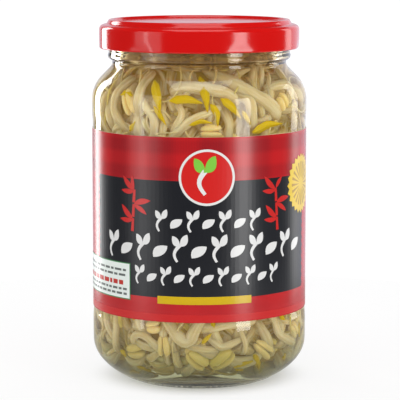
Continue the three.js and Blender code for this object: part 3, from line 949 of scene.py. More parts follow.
def strip(s0, s1, z0, z1):
    """An upright rectangle between two places along the wrap and two heights."""
    return [(s0, z0), (s1, z0), (s1, z1), (s0, z1)]


def yellow_bar():
    """The bar under the black field."""
    s0, s1 = map(along_wrap, BAR_ENDS)
    yellow = ink("label yellow", (0.6, 0.4, 0.001), 0.22)
    return printed("print_yellow_bar", [strip(s0, s1, *BAR_HEIGHTS)], yellow, 2)


def base_stripe():
    """A slightly brighter line of red along the label's foot."""
    reach = HALF_WRAP - 0.1
    red = ink("label bright red", (0.55, 0.008, 0.008))
    stripe = strip(-reach, reach, LABEL_BOTTOM + 0.3, LABEL_BOTTOM + 2.6)
    return printed("print_base_stripe", [stripe], red)


def white_panel():
    """The white panel at the left, with a thin green edge."""
    s0, s1 = map(along_wrap, PANEL_ENDS)
    low, high = PANEL_HEIGHTS
    green = ink("label green line", (0.05, 0.22, 0.08))
    white = ink("label white", (0.76, 0.82, 0.78))
    field = strip(s0 + PANEL_EDGE, s1 - PANEL_EDGE, low + PANEL_EDGE, high - PANEL_EDGE)
    edge = printed("print_panel_edge", [strip(s0, s1, low, high)], green, 2)
    return [edge, printed("print_panel", [field], white, 3)]


def small_print():
    """Short dashes in place of the small lettering on the white panel."""
    rng = random.Random(SMALL_PRINT_SEED)
    grey = ink("small print grey", (0.12, 0.14, 0.13))
    red = ink("small print red", (0.5, 0.03, 0.02))
    first, last_start, last = along_wrap(-94), along_wrap(-43), along_wrap(-41)
    rows = [(41.0, 0.75, grey), (39.3, 0.75, grey), (36.7, 1.5, red), (34.6, 0.75, grey), (33.0, 0.75, grey)]
    pieces = []
    for index, (z, tall, colour) in enumerate(rows):
        dashes = []
        s = first
        while s < last_start:
            width = rng.uniform(1.2, 3.4)
            dashes.append(strip(s, min(s + width, last), z - tall / 2, z + tall / 2))
            s += width + 0.7
        pieces.append(printed(f"print_small_{index + 1}", dashes, colour, 4))
    return pieces


def away(s, z, radius, angle):
    """A place at a radius from another, its angle clockwise from straight up."""
    return (s + radius * math.sin(angle), z + radius * math.cos(angle))


def disc(s, z, radius, steps=48, wave=0.0, petals=0):
    """A round outline, or one that waves in and out in petals."""
    points = []
    for i in range(steps):
        a = math.tau * i / steps
        points.append(away(s, z, radius * (1 + wave * math.cos(petals * a)), a))
    return points


def rays(s, z, inner, outer, count, share):
    """Rays between two radii round a centre, each widening outward."""
    outlines = []
    for i in range(count):
        middle = math.tau * i / count
        half = math.pi * share / count
        corners = ((inner, -0.4), (outer, -1), (outer, 1), (inner, 0.4))
        outlines.append([away(s, z, r, middle + half * turn) for r, turn in corners])
    return outlines


def yellow_seal():
    """A plain yellow rosette at the right."""
    s, z = along_wrap(SEAL_PLACE[0]), SEAL_PLACE[1]
    yellow = ink("seal yellow", (0.72, 0.5, 0.02))
    dark = ink("seal dark yellow", (0.42, 0.24, 0.01))
    petals = printed("print_seal", [disc(s, z, SEAL_RADIUS, 96, 0.06, 24)], yellow, 3)
    return [petals, printed("print_seal_rays", rays(s, z, 2.2, 7.4, 20, 0.45), dark, 4)]


def petal(s, z, turn, length, width, bend=0.25):
    """A pointed leaf outline that grows from a point, turned by degrees from straight up."""
    a = math.radians(turn)
    outline = []
    for side in (1, -1):
        steps = range(9) if side == 1 else range(8, -1, -1)
        for i in steps:
            share = i / 8
            x = side * width / 2 * math.sin(math.pi * share) ** 0.8 + bend * length * share * share
            y = length * share
            outline.append((s + x * math.cos(a) + y * math.sin(a), z - x * math.sin(a) + y * math.cos(a)))
    return outline[:-1]


def stroke(points, width, end_width):
    """A brush stroke through points, tapering to its end."""
    left = []
    right = []
    for i, ((s, z), along) in enumerate(zip(points, headings(points))):
        half = (width + (end_width - width) * i / (len(points) - 1)) / 2
        left.append((s - along.y * half, z + along.x * half))
        right.append((s + along.y * half, z - along.x * half))
    return left + right[::-1]


def sprout_mark(s, z, size, lean=0.0):
    """A little sprout: a curved stem under two seed halves."""
    stem = []
    for i in range(9):
        share = i / 8
        stem.append((s + size * (lean * share - 0.16 * math.sin(math.pi * share)), z + size * 0.62 * share))
    top = stem[-1]
    halves = [
        petal(top[0], top[1] - size * 0.04, -52, size * 0.46, size * 0.27),
        petal(top[0], top[1] - size * 0.04, 46, size * 0.5, size * 0.29, -0.25),
    ]
    return [stroke(stem, size * 0.09, size * 0.14)], halves


def sprout_roundel():
    """A red badge with a white rim and one large sprout."""
    s, z = along_wrap(DESIGN_CENTRE), ROUNDEL_HEIGHT
    white = ink("roundel white", (0.72, 0.72, 0.7))
    red = ink("roundel red", (0.6, 0.008, 0.006))
    green = ink("roundel green", (0.2, 0.55, 0.05))
    stem, halves = sprout_mark(s - 0.6, z - 5.6, 12.5)
    return [
        printed("print_roundel", [disc(s, z, ROUNDEL_RADIUS, 64)], white, 3),
        printed("print_roundel_field", [disc(s, z, ROUNDEL_RADIUS - ROUNDEL_RIM, 64)], red, 4),
        printed("print_roundel_stem", stem, white, 5),
        printed("print_roundel_leaves", halves, green, 5),
    ]


def bamboo(name, degrees, base, size, lean, colour):
    """A brushed bamboo cane with leaves."""
    s = along_wrap(degrees)
    marks = []
    for i in range(3):
        low = base + size * 0.31 * i
        start = s + lean * 0.4 * i
        cane = [(start + lean * 0.2 * k, low + size * 0.14 * k) for k in range(3)]
        knot = cane[-1][0]
        side = 1 if i % 2 else -1
        marks.append(stroke(cane, 1.2, 0.95))
        marks.append(petal(knot, low + size * 0.27, side * 62, size * 0.42, size * 0.13))
        marks.append(petal(knot, low + size * 0.25, side * 104, size * 0.36, size * 0.11))
    marks.append(petal(s + lean, base + size * 0.9, -30 * lean, size * 0.3, size * 0.1))
    return printed(name, marks, colour, 3)


def frieze(name, z, s0, s1, size, gap, colour):
    """A row of little sprouts and seeds in place of words."""
    marks = []
    count = round((s1 - s0) / gap)
    for i in range(count + 1):
        s = s0 + (s1 - s0) * i / count
        if i % 2 == 0:
            stem, halves = sprout_mark(s, z, size, 0.1)
            marks += stem + halves
        else:
            marks.append(petal(s - size * 0.2, z + size * 0.15, 38, size * 0.68, size * 0.4))
    return printed(name, marks, colour, 3)


def label_print():
    """All that is printed over the label's red, from the lowest ink to the topmost."""
    white = ink("lettering white", (0.7, 0.7, 0.69))
    red = ink("brush red", (0.55, 0.012, 0.01))
    centre = along_wrap(DESIGN_CENTRE)
    pieces = [black_field(), base_stripe(), yellow_bar()]
    pieces += white_panel() + small_print() + yellow_seal() + sprout_roundel()
    for side, degrees, lean in (("left", -37, 0.8), ("right", 45, -0.8)):
        pieces.append(bamboo(f"print_bamboo_{side}", degrees, 54.5, 15.5, lean, red))
    friezes = [("top", 55.2, 16, 7.2, 5.3), ("middle", 45.2, 36, 9.0, 6.5), ("low", 37.2, 24, 6.4, 4.8)]
    for level, z, reach, size, gap in friezes:
        pieces.append(frieze(f"print_frieze_{level}", z, centre - reach, centre + reach, size, gap, white))
    return pieces


# Fill: the skin that the sprouts press against


def sprout_skin():
    """The skin that the sprouts press against, from the middle of the floor out and up to the heap's top."""
    return [
        *beside(cavity(), SPROUT_INSIDE),
        (BORE_RADIUS - SPROUT_INSIDE, HEAP_EDGE),
        (21, HEAP_TOP - 1.1),
        (10, HEAP_TOP - 0.2),
        (0, HEAP_TOP),
    ]


SKIN = np.array(sprout_skin())
SKIN_ALONG = SKIN[1:] - SKIN[:-1]


def skin_normals():
    """The ways out of the jar at the skin's corners, in the profile plane."""
    padded = np.vstack([SKIN[:1], SKIN, SKIN[-1:]])
    along = unit(padded[2:] - padded[:-2])
    return np.stack([along[:, 1], -along[:, 0]], axis=1)


SKIN_NORMALS = skin_normals()


def on_skin(points):
    """The nearest places on the skin to some points, and the ways out of the jar there."""
    points = np.atleast_2d(points)
    azimuth = np.arctan2(points[:, 1], points[:, 0])
    flat = np.stack([np.hypot(points[:, 0], points[:, 1]), points[:, 2]], axis=1)
    gap = flat[:, None, :] - SKIN[None, :-1, :]
    share = (gap * SKIN_ALONG).sum(axis=2) / (SKIN_ALONG**2).sum(axis=1)
    share = np.clip(share, 0, 1)
    near = SKIN[None, :-1, :] + SKIN_ALONG[None] * share[:, :, None]
    best = np.linalg.norm(flat[:, None, :] - near, axis=2).argmin(axis=1)
    rows = np.arange(len(points))
    share = share[rows, best][:, None]
    near = near[rows, best]
    out = unit(SKIN_NORMALS[best] * (1 - share) + SKIN_NORMALS[best + 1] * share)
    cosine, sine = np.cos(azimuth), np.sin(azimuth)
    places = np.stack([near[:, 0] * cosine, near[:, 0] * sine, near[:, 1]], axis=1)
    ways = np.stack([out[:, 0] * cosine, out[:, 0] * sine, out[:, 1]], axis=1)
    return places, ways


def seeded(seed):
    """Random numbers from 0 to 1, the same ones that place the part's own sprouts."""
    state = seed

    def draw():
        nonlocal state
        state = (state + 0x6D2B79F5) & 0xFFFFFFFF
        t = state
        t = ((t ^ (t >> 15)) * (t | 1)) & 0xFFFFFFFF
        t = (t ^ (t + ((t ^ (t >> 7)) * (t | 61)))) & 0xFFFFFFFF
        return ((t ^ (t >> 14)) & 0xFFFFFFFF) / 4294967296

    return draw


def smooth_curve(points, steps):
    """Evenly spaced points on a smooth curve through some points."""
    points = np.asarray(points, dtype=float)
    knots = np.concatenate([[0], np.cumsum(np.linalg.norm(np.diff(points, axis=0), axis=1) ** 0.5)])
    ends = np.vstack([2 * points[0] - points[1], points, 2 * points[-1] - points[-2]])
    fine = []
    for i in range(len(points) - 1):
        p0, p1, p2, p3 = ends[i : i + 4]
        span = knots[i + 1] - knots[i]
        before = knots[i] - knots[i - 1] if i else span
        after = knots[i + 2] - knots[i + 1] if i + 2 < len(knots) else span
        m1 = (p2 - p1) / span - (p2 - p0) / (before + span) + (p1 - p0) / before
        m2 = (p3 - p2) / after - (p3 - p1) / (span + after) + (p2 - p1) / span
        m1, m2 = m1 * span, m2 * span
        for t in np.linspace(0, 1, 17)[:-1]:
            a = 2 * t**3 - 3 * t**2 + 1
            b = t**3 - 2 * t**2 + t
            c = -2 * t**3 + 3 * t**2
            d = t**3 - t**2
            fine.append(a * p1 + b * m1 + c * p2 + d * m2)
    fine.append(points[-1])
    fine = np.array(fine)
    lengths = np.concatenate([[0], np.cumsum(np.linalg.norm(np.diff(fine, axis=0), axis=1))])
    wanted = np.linspace(0, lengths[-1], steps + 1)
    spaced = np.stack([np.interp(wanted, lengths, fine[:, k]) for k in range(3)], axis=1)
    return spaced, lengths[-1]


def skin_path(path, extra=0.0):
    """A line on the skin through places given as degrees to the right of the front, and height."""
    corners = np.array([list(at(degrees, radius_at(SKIN, height), height)) for degrees, height in path])
    if extra:
        before = corners[0] + unit(corners[0] - corners[1]) * extra
        after = corners[-1] + unit(corners[-1] - corners[-2]) * extra
        corners = np.vstack([before, corners, after])
    length = smooth_curve(corners, 4)[1]
    steps = max(3, round(length / STEM_STEP))
    return on_skin(smooth_curve(corners, steps)[0])


def turned_about(vector, axis, angle):
    """A vector turned about an axis of length 1."""
    cosine, sine = math.cos(angle), math.sin(angle)
    return vector * cosine + np.cross(axis, vector) * sine + axis * axis.dot(vector) * (1 - cosine)


def wandering_path(draw, longer=1.0, calmer=1.0):
    """A sprout's line along the skin from a random place, bending slowly one way and the other."""
    rings = (SKIN[:-1, 0] + SKIN[1:, 0]) * np.linalg.norm(SKIN_ALONG, axis=1)
    areas = np.concatenate([[0], np.cumsum(rings)])
    wanted = draw() * areas[-1]
    piece = int(np.searchsorted(areas, wanted, side="right")) - 1
    share = (wanted - areas[piece]) / (areas[piece + 1] - areas[piece])
    start = SKIN[piece] + SKIN_ALONG[piece] * share
    azimuth = draw() * math.tau
    places, ways = on_skin([start[0] * math.cos(azimuth), start[0] * math.sin(azimuth), start[1]])
    side = np.array([-math.sin(azimuth), math.cos(azimuth), 0.0])
    heading = turned_about(side, ways[0], draw() * math.tau)
    length = (SHORTEST_SPROUT + SPROUT_LENGTHS * draw()) * longer
    bend = MOST_BEND * (draw() - 0.5) * calmer
    sway = (LEAST_SWAY + MORE_SWAY * draw()) * calmer
    phase = draw() * math.tau
    steps = round(length / STEM_STEP)
    line = [places[0]]
    outs = [ways[0]]
    for i in range(1, steps + 1):
        next_place, next_out = on_skin(line[-1] + heading * STEM_STEP)
        heading = unit(heading - next_out[0] * heading.dot(next_out[0]))
        turn = STEM_STEP * (bend + sway * math.sin(phase + 5 * i / steps))
        heading = turned_about(heading, next_out[0], turn)
        line.append(next_place[0])
        outs.append(next_out[0])
    return np.array(line), np.array(outs)


class Pile:
    """Everything laid so far, as round marks on the skin that later stems pass behind."""

    def __init__(self):
        self.marks = np.zeros((0, 5))

    def mark(self, places, radii, centres):
        """Note where a sprout lies, so that the ones laid after it go behind it."""
        self.marks = np.vstack([self.marks, np.column_stack([places, radii, centres])])

    def depths_behind(self, places, radii):
        """How deep behind the skin a stem's centre lies at each place, to pass behind what is there."""
        needed = np.array(radii, dtype=float)
        if len(self.marks):
            reach = self.marks[None, :, 3] + needed[:, None] - STEM_OVERLAP
            apart = np.linalg.norm(places[:, None, :] - self.marks[None, :, :3], axis=2)
            behind = self.marks[None, :, 4] + np.sqrt(np.maximum(reach**2 - apart**2, 0))
            behind = np.where(apart < reach, behind, 0)
            needed = np.maximum(needed, behind.max(axis=1))
        steps = np.abs(np.subtract.outer(np.arange(len(needed)), np.arange(len(needed))))
        sloped = (needed[None, :] - 0.75 * STEM_STEP * steps).max(axis=1)
        padded = np.concatenate([sloped[:1], sloped, sloped[-1:]])
        smooth = 0.25 * padded[:-2] + 0.5 * padded[1:-1] + 0.25 * padded[2:]
        return np.maximum(needed, smooth)


# What lies on the skin where it shows at the front, as (degrees to the right of the front, height).
# Stems carry the diameters of their two ends, beans and leaves their width.
FRONT_STEMS = [
    ([(13.5, 105.5), (24.5, 103), (36, 99.5), (50, 94)], (4.0, 4.5)),
    ([(-38.5, 102.5), (-38, 98.5), (-39, 93), (-38, 87)], (3.1, 4.2)),
    ([(-11, 107.5), (7.5, 106.5), (22, 103), (29.5, 99), (32.5, 93)], (2.6, 3.8)),
    ([(-10, 102.5), (4.5, 102), (18.5, 100.5)], (4.0, 3.5)),
    ([(-22, 104.5), (-20, 101.5), (-17.5, 98)], (3.5, 3.3)),
    ([(-17.5, 104.5), (-12, 101), (-9, 100), (-5.5, 102)], (1.7, 1.3)),
    ([(39, 90.5), (51.5, 92.5), (69, 94)], (2.8, 3.3)),
    ([(-13, 87.5), (-3.5, 92), (5.5, 94)], (3.1, 2.4)),
    ([(56.5, 101.5), (68, 100.5), (65.5, 97), (72, 91)], (2.6, 3.3)),
    ([(-56, 101), (-57, 98), (-57, 93.5), (-52, 90)], (3.3, 2.8)),
    ([(-69, 97), (-71, 91.5), (-65.5, 86.5)], (3.1, 3.1)),
    ([(-60, 86), (-51, 89), (-45.5, 88)], (2.8, 2.4)),
    ([(-54.5, 105.5), (-31.5, 110), (-14, 111)], (3.1, 2.6)),
    ([(-18.5, 23.5), (-12, 19), (-6.5, 17.5), (-3.5, 20.5), (0, 24)], (4.0, 4.0)),
    ([(3.5, 22), (15, 23), (29, 23.5)], (3.1, 3.5)),
    ([(-56.5, 24), (-56.5, 18), (-57, 12)], (3.3, 2.6)),
    ([(-41.5, 16.5), (-40.5, 18.5), (-35, 19), (-25, 15.5)], (2.6, 3.1)),
    ([(-15, 20), (-21.5, 15), (-30.5, 10.5)], (1.9, 2.6)),
    ([(-16.5, 17), (-15.5, 12.5), (-14, 9)], (2.1, 2.4)),
    ([(-8.5, 16.5), (-1, 15.5), (5.5, 15)], (2.8, 2.1)),
    ([(41.5, 21), (44.5, 16), (51, 10)], (3.5, 3.1)),
    ([(50, 22.5), (52.5, 18.5), (68, 13.5)], (2.8, 3.3)),
    ([(-27, 87), (-27, 92), (-32.5, 95.5)], (3.1, 2.4)),
    ([(17.5, 87), (17.5, 91), (13, 97.5)], (3.5, 2.6)),
    ([(32.5, 91), (29.5, 96), (23, 102)], (3.5, 2.8)),
    ([(-15, 88), (-10, 94), (-15, 97.5)], (2.8, 2.1)),
    ([(-42.5, 93), (-46, 96.5), (-48.5, 100)], (3.1, 2.6)),
    ([(-41.5, 16.5), (-35, 15.5), (-27, 14.5)], (2.8, 2.4)),
    ([(-35.5, 12), (-36, 10), (-40.5, 9), (-47.5, 8.5)], (2.4, 1.7)),
    ([(-17.5, 16.5), (-21, 13), (-20.5, 9.5)], (1.9, 2.1)),
    ([(-38, 25), (-37, 21.5), (-35, 19.5)], (3.1, 2.6)),
    ([(8.5, 18), (13, 16), (20.5, 17)], (2.8, 2.4)),
    ([(55.5, 20), (58, 14), (52.5, 11.5)], (2.6, 2.8)),
    ([(-68.5, 24.5), (-65.5, 20), (-60, 16.5)], (3.3, 2.8)),
]
BEANS = [
    ([(1, 88), (13, 88)], 4.7),
    ([(-48.5, 100), (-42.5, 93)], 4.5),
    ([(54.5, 98), (59, 94)], 4.7),
    ([(-6.5, 12.5), (4.5, 8.5)], 4.9),
    ([(7, 8.5), (20, 12.5)], 5.2),
    ([(35, 16), (48, 11)], 4.3),
    ([(-47.5, 12), (-35, 13)], 4.7),
    ([(-32.5, 21.5), (-24, 22.5)], 4.3),
    ([(67.5, 20), (74, 15)], 4.5),
]
LEAVES = [
    ([(-29, 102.5), (-25, 99), (-23, 95)], 3.6),
    ([(-15, 98), (-7.5, 98.5), (0, 97.5)], 3.1),
    ([(1, 104), (3.5, 100), (4.5, 95.5)], 3.8),
    ([(7.5, 96), (10, 94), (10.5, 91)], 2.7),
    ([(-4.5, 90.5), (0, 91.5), (5.5, 91)], 2.2),
    ([(14, 98), (18.5, 96), (23, 93)], 3.1),
    ([(33.5, 87.5), (42.5, 89.5), (52, 89.5)], 3.6),
    ([(24, 9), (31.5, 10)], 2.0),
    ([(34.5, 11.5), (43, 7.5)], 2.5),
    ([(-25, 95), (-22.5, 93), (-20, 91)], 2.1),
    ([(-48.5, 99), (-46, 99.5), (-43.5, 99)], 2.5),
    ([(26, 93.5), (29, 91)], 2.0),
]


class Strands:
    """Skins gathered into one mesh, with each point's depth in the jar, shade and place in the grain."""

    def __init__(self):
        self.vertices = []
        self.faces = []
        self.depth = []
        self.shade = []
        self.grain = []

    def add(self, vertices, faces, depth, shade, grain):
        """Take in one skin, with what colours each of its points."""
        start = len(self.vertices)
        self.vertices += [tuple(v) for v in vertices]
        self.faces += [[i + start for i in face] for face in faces]
        self.depth += list(depth)
        self.shade += [shade] * len(vertices)
        self.grain += [(g[0] + 37 * shade, g[1] + 11 * shade, g[2]) for g in grain]

    def tube(self, centres, outs, radii, depths, shade, sides=9, spacing=1.2):
        """A round stem through its centres, with rounded ends and a slightly uneven girth."""
        steps = max(4, round(len(centres) * STEM_STEP / spacing))
        line, length = smooth_curve(centres, steps)
        old = np.linspace(0, 1, len(centres))
        new = np.linspace(0, 1, steps + 1)
        radius = np.interp(new, old, radii)
        depth = np.interp(new, old, depths)
        out = np.stack([np.interp(new, old, outs[:, k]) for k in range(3)], axis=1)
        along = unit(np.gradient(line, axis=0))
        out = unit(out - along * (out * along).sum(axis=1, keepdims=True))
        across = np.cross(along, out)
        near_end = np.clip(np.minimum(new, 1 - new) * length / np.maximum(radius, 0.2), 0.03, 1)
        taper = np.sqrt(near_end * (2 - near_end))
        reach = new * length
        uneven = 1 + 0.08 * np.sin(reach * 0.37 + shade * 40) + 0.04 * np.sin(reach * 1.1 + shade * 90)
        girth = radius * taper * uneven
        turn = np.linspace(0, 2 * np.pi, sides, endpoint=False)
        facing = (np.cos(turn) * STEM_FLATNESS)[None, :, None]
        ring = out[:, None, :] * facing + across[:, None, :] * np.sin(turn)[None, :, None]
        points = line[:, None, :] + ring * girth[:, None, None]
        inward = np.repeat(depth, sides) - np.tile(np.cos(turn), steps + 1) * np.repeat(girth, sides)
        grain = np.stack(
            [
                np.repeat(new * length * 0.13, sides),
                np.tile(np.cos(turn), steps + 1) * 1.7,
                np.tile(np.sin(turn), steps + 1) * 1.7,
            ],
            axis=1,
        )
        _, faces = swept_data([[0] * sides] * (steps + 1))
        self.add(points.reshape(-1, 3), faces, inward, shade, grain)

    def object(self, name, material):
        """The gathered skins as one mesh object."""
        obj = mesh_object(name, self.vertices, self.faces, [material])
        height = np.array(self.vertices)[:, 2]
        # Sprouts in the neck count as deeper: painted shade under the lid
        neck = NECK_PAINTED_SHADE * np.clip((height - SHOULDER_START) / (NECK_BASE - SHOULDER_START), 0, 1) ** 2
        fields = {"depth": np.array(self.depth) / 10 + neck, "shade": self.shade}
        for field, values in fields.items():
            stored = obj.data.attributes.new(field, "FLOAT", "POINT")
            stored.data.foreach_set("value", np.array(values, dtype=np.float32))
        grain = obj.data.attributes.new("grain", "FLOAT_VECTOR", "POINT")
        grain.data.foreach_set("vector", np.array(self.grain, dtype=np.float32).ravel())
        return obj


def sunk_ends(count, first, last):
    """Extra depths that let one or both ends of a stem sink out of sight among the others."""
    along = np.arange(count) * STEM_STEP
    from_first = np.clip(1 - along / END_SINK, 0, 1) ** 1.6
    from_last = np.clip(1 - along[::-1] / END_SINK, 0, 1) ** 1.6
    return END_DEPTH * (first * from_first + last * from_last)


def lay_stem(pile, places, outs, radii, sunk=(1, 1)):
    """A stem laid behind what is there already, or nothing where that is too deep."""
    depths = pile.depths_behind(places, radii)
    if np.median(depths) > DEEPEST_BEHIND:
        return None
    depths = np.minimum(depths, DEEPEST_BEHIND + 1.5) + sunk_ends(len(places), *sunk)
    pile.mark(places, radii, depths)
    return places - outs * depths[:, None], outs, radii, depths


def lay_root(roots, longer, rng, shade):
    """A thin winding root on top of the stems."""
    places, outs = wandering_path(rng.random, longer, 1.6)
    radius = rng.uniform(0.25, 0.55)
    radii = radius * np.linspace(1, 0.55, len(places))
    lift = np.array([rng.uniform(0.2, 1.5) for _ in places])
    depths = np.convolve(np.pad(lift, 1, mode="edge"), (0.25, 0.5, 0.25), mode="valid")
    depths += sunk_ends(len(places), 0.8, 0.8)
    roots.tube(places - outs * depths[:, None], outs, radii, depths, shade, sides=5, spacing=1.4)


def seed_frame(middle, out, along, depth):
    """The centre of a seed behind a place on the skin, and its own directions as columns."""
    along = unit(along - out * along.dot(out))
    return middle - out * depth, np.column_stack([along, np.cross(out, along), out])


def bean_half(strands, centre, basis, length, width, depth, side, lean, shade):
    """One plump seed half, nearly flat on its inner side and finely creased along its back."""
    rings = 16
    sides = 16
    points = []
    grain = []
    for i in range(rings + 1):
        t = -1 + 2 * i / rings
        swell = math.sqrt(max(0.0, 1 - abs(t) ** 2.4)) + 0.02
        for k in range(sides):
            a = math.tau * k / sides
            y, z = math.cos(a), math.sin(a)
            flat = 0.45 if y * side < 0 else 1.0
            crease = 1 - 0.03 * math.cos(5 * a)
            local = (t * length / 2, y * width * 0.36 * flat * swell * crease, z * depth * swell * crease)
            lifted = local[1] + side * (width * 0.165 + 0.05 * local[0] * lean)
            points.append(centre + basis @ np.array([local[0], lifted, local[2]]))
            grain.append((t * length * 0.06, y * 1.5, z * 1.5))
    _, faces = swept_data([[0] * sides] * (rings + 1))
    strands.add(points, faces, [0.3] * len(points), shade, grain)


def lay_bean(pile, beans, path, width, shade):
    """A pair of seed halves along a path, just behind the glass."""
    places = skin_path(path)[0]
    depth = width * 0.42
    middle, out = on_skin((places[0] + places[-1]) / 2)
    along = places[-1] - places[0]
    centre, basis = seed_frame(middle[0], out[0], along, depth + 0.25)
    for side in (-1, 1):
        bean_half(beans, centre, basis, np.linalg.norm(along), width, depth, side, 1.0, shade + 0.04 * side)
    pile.mark(places, [width / 2] * len(places), [depth] * len(places))


def leaf_data(places, width, curl):
    """A folded leaf with a drawn-out point, a raised rib and waved edges, as a thin skin, and its grain."""
    steps = 28
    across_steps = 8
    line, length = smooth_curve(places, steps)
    line, out = on_skin(line)
    along = unit(np.gradient(line, axis=0))
    across = np.cross(out, along)
    rows = []
    grain = []
    for i in range(steps + 1):
        t = i / steps
        breadth = 0.12 + 0.88 * eased(0.2 + t / 0.3) * min(1.0, (1 - t) / 0.5) ** 0.85
        twist = 0.35 * math.sin(2.6 * t + curl)
        row = []
        for face in (0, 1):
            order = range(across_steps + 1) if face == 0 else range(across_steps, -1, -1)
            for k in order:
                y = -1 + 2 * k / across_steps
                wave = 0.1 * math.sin(8 * t + 2 * y + curl) * abs(y)
                fold = 0.85 * abs(y) ** 1.3 * width / 3 * (1 if face == 0 else 0.9)
                inward = 0.1 + fold + wave + max(0.0, twist * y) * 0.8 + (0.26 if face else 0)
                row.append(line[i] + across[i] * (y * width / 2 * breadth) - out[i] * inward)
                grain.append((t * length * 0.1, y * 2.4, 0.0))
        rows.append(row)
    vertices, faces = swept_data(rows)
    return vertices, faces, grain


def lay_leaf(pile, leaves, path, width, shade):
    """A yellow leaf flat against the glass along a path."""
    places = skin_path(path, LEAF_EXTRA)[0]
    vertices, faces, grain = leaf_data(places, width * 0.8, shade * 9)
    leaves.add(vertices, faces, [0.3] * len(vertices), shade, grain)
    pile.mark(places, [width / 2] * len(places), [LEAF_THICKNESS + 0.3 - width / 2] * len(places))


def lay_head(beans, leaves, places, depths, shade, rng):
    """The seed halves at a sprout's thick end, and the pale yellow leaf tips between them."""
    along = unit(places[0] - places[1])
    middle, out = on_skin(places[0] + along * 2.4)
    centre, basis = seed_frame(middle[0], out[0], along, max(depths[0], 2.2))
    along, across = basis[:, 0], basis[:, 1]
    for side in (-1, 1):
        bean_half(beans, centre, basis, 7.2, 4.2, 1.9, side, rng.uniform(0.4, 1.6), shade)
    if rng.random() < 0.45:
        tip = middle[0] + along * 3.0
        end = tip + along * rng.uniform(2.5, 5.0) + across * rng.uniform(-2.5, 2.5)
        path = on_skin(np.array([tip, (tip + end) / 2, end]))[0]
        vertices, faces, grain = leaf_data(path, rng.uniform(1.3, 2.2), rng.random() * 6)
        leaves.add(vertices, faces, [0.3] * len(vertices), shade, grain)


def lay_front(pile, beans, leaves, stems, rng):
    """What the front shows: beans and leaves on top, and the stems behind them."""
    for path, width in BEANS:
        lay_bean(pile, beans, path, width, rng.random())
    for path, width in LEAVES:
        lay_leaf(pile, leaves, path, width, rng.random())
    for path, ends in FRONT_STEMS:
        places, outs = skin_path(path, STEM_EXTRA)
        radii = np.linspace(ends[0], ends[1], len(places)) / 2
        laid = lay_stem(pile, places, outs, radii)
        if laid:
            stems[0].tube(*laid, rng.random() * 0.7, sides=12, spacing=0.9)


def stem_radii(thick, count):
    """A stem's radii along its length, full near its head and thin at its root end."""
    return thick / 2 * np.interp(np.linspace(0, 1, count), *THICKNESS_ALONG)


def lay_wandering(pile, beans, leaves, stems, rng):
    """Sprouts at seeded places: first the part's own, then longer and slimmer ones behind them."""
    draw = seeded(SPROUT_SEED)
    count = 0
    for i in range(SPROUT_TRIES):
        longer, calmer, thinnest, thicker = FIRST_KIND if i < FIRST_SPROUTS else LATER_KIND
        places, outs = wandering_path(draw, longer, calmer)
        radii = stem_radii(thinnest + thicker * draw(), len(places))
        headed = draw() < HEADED_SHARE
        laid = lay_stem(pile, places, outs, radii, (0 if headed else 1, 1))
        if not laid:
            continue
        count += 1
        shade = rng.random()
        stems[count % len(stems)].tube(*laid, shade)
        if headed:
            lay_head(beans, leaves, places, laid[3], shade, rng)


def lay_inner(pile, inner, rng):
    """Plain sprouts just outside the core, where gaps between the others show them. Low ones lie less deep."""
    places, outs = wandering_path(rng.random, 1.3, 0.8)
    radii = stem_radii(rng.uniform(3.2, 4.4), len(places))
    low = np.clip((SHALLOW_BELOW - places[:, 2]) / SHALLOW_FADE, 0, 1)
    core = CORE_DEPTH - low * (CORE_DEPTH - CORE_DEPTH_BELOW)
    depths = np.clip(pile.depths_behind(places, radii), core - rng.uniform(0.2, 1.6), core + 1)
    inner.tube(places - outs * depths[:, None], outs, radii, depths, rng.random(), 7, 1.8)


def packed_sprouts(colouring):
    """All that is packed round the core, from the glass inward."""
    rng = random.Random(DRESSING_SEED)
    pile = Pile()
    beans, leaves, roots, inner = Strands(), Strands(), Strands(), Strands()
    stems = [Strands(), Strands(), Strands()]
    lay_front(pile, beans, leaves, stems, rng)
    lay_wandering(pile, beans, leaves, stems, rng)
    for _ in range(ROOTS):
        lay_root(roots, 0.75, rng, rng.random())
    for _ in range(INNER_SPROUTS):
        lay_inner(pile, inner, rng)
    flesh = stem_flesh(colouring)
    pieces = [strands.object(f"sprout_stems_{i + 1}", flesh) for i, strands in enumerate(stems)]
    pieces.append(beans.object("sprout_beans", seed_flesh(colouring)))
    pieces.append(leaves.object("sprout_leaves", leaf_flesh(colouring)))
    pieces.append(roots.object("sprout_roots", root_flesh(colouring)))
    pieces.append(inner.object("sprout_stems_inner", flesh))
    return pieces


def pressed_core(colouring):
    """The sprouts deep inside, a dim mass between the outer ones. Its foot lies less deep and is let down."""
    deep = softened(beside(sprout_skin(), CORE_DEPTH), 1)
    shallow = softened(beside(sprout_skin(), CORE_DEPTH_BELOW), 1)
    profile = []
    for (r0, z0), (r1, z1) in zip(shallow, deep):
        share = eased((z1 - CORE_LOW) / CORE_RISE)
        to_floor = CORE_DROP * (1 - eased((z1 - DROP_LOW) / DROP_RISE))
        profile.append((r0 + (r1 - r0) * share, z0 + (z1 - z0) * share - to_floor))
    vertices, faces = lathe_data(profile, 72)
    return mesh_object("pressed_core", vertices, faces, [core_flesh(colouring)])


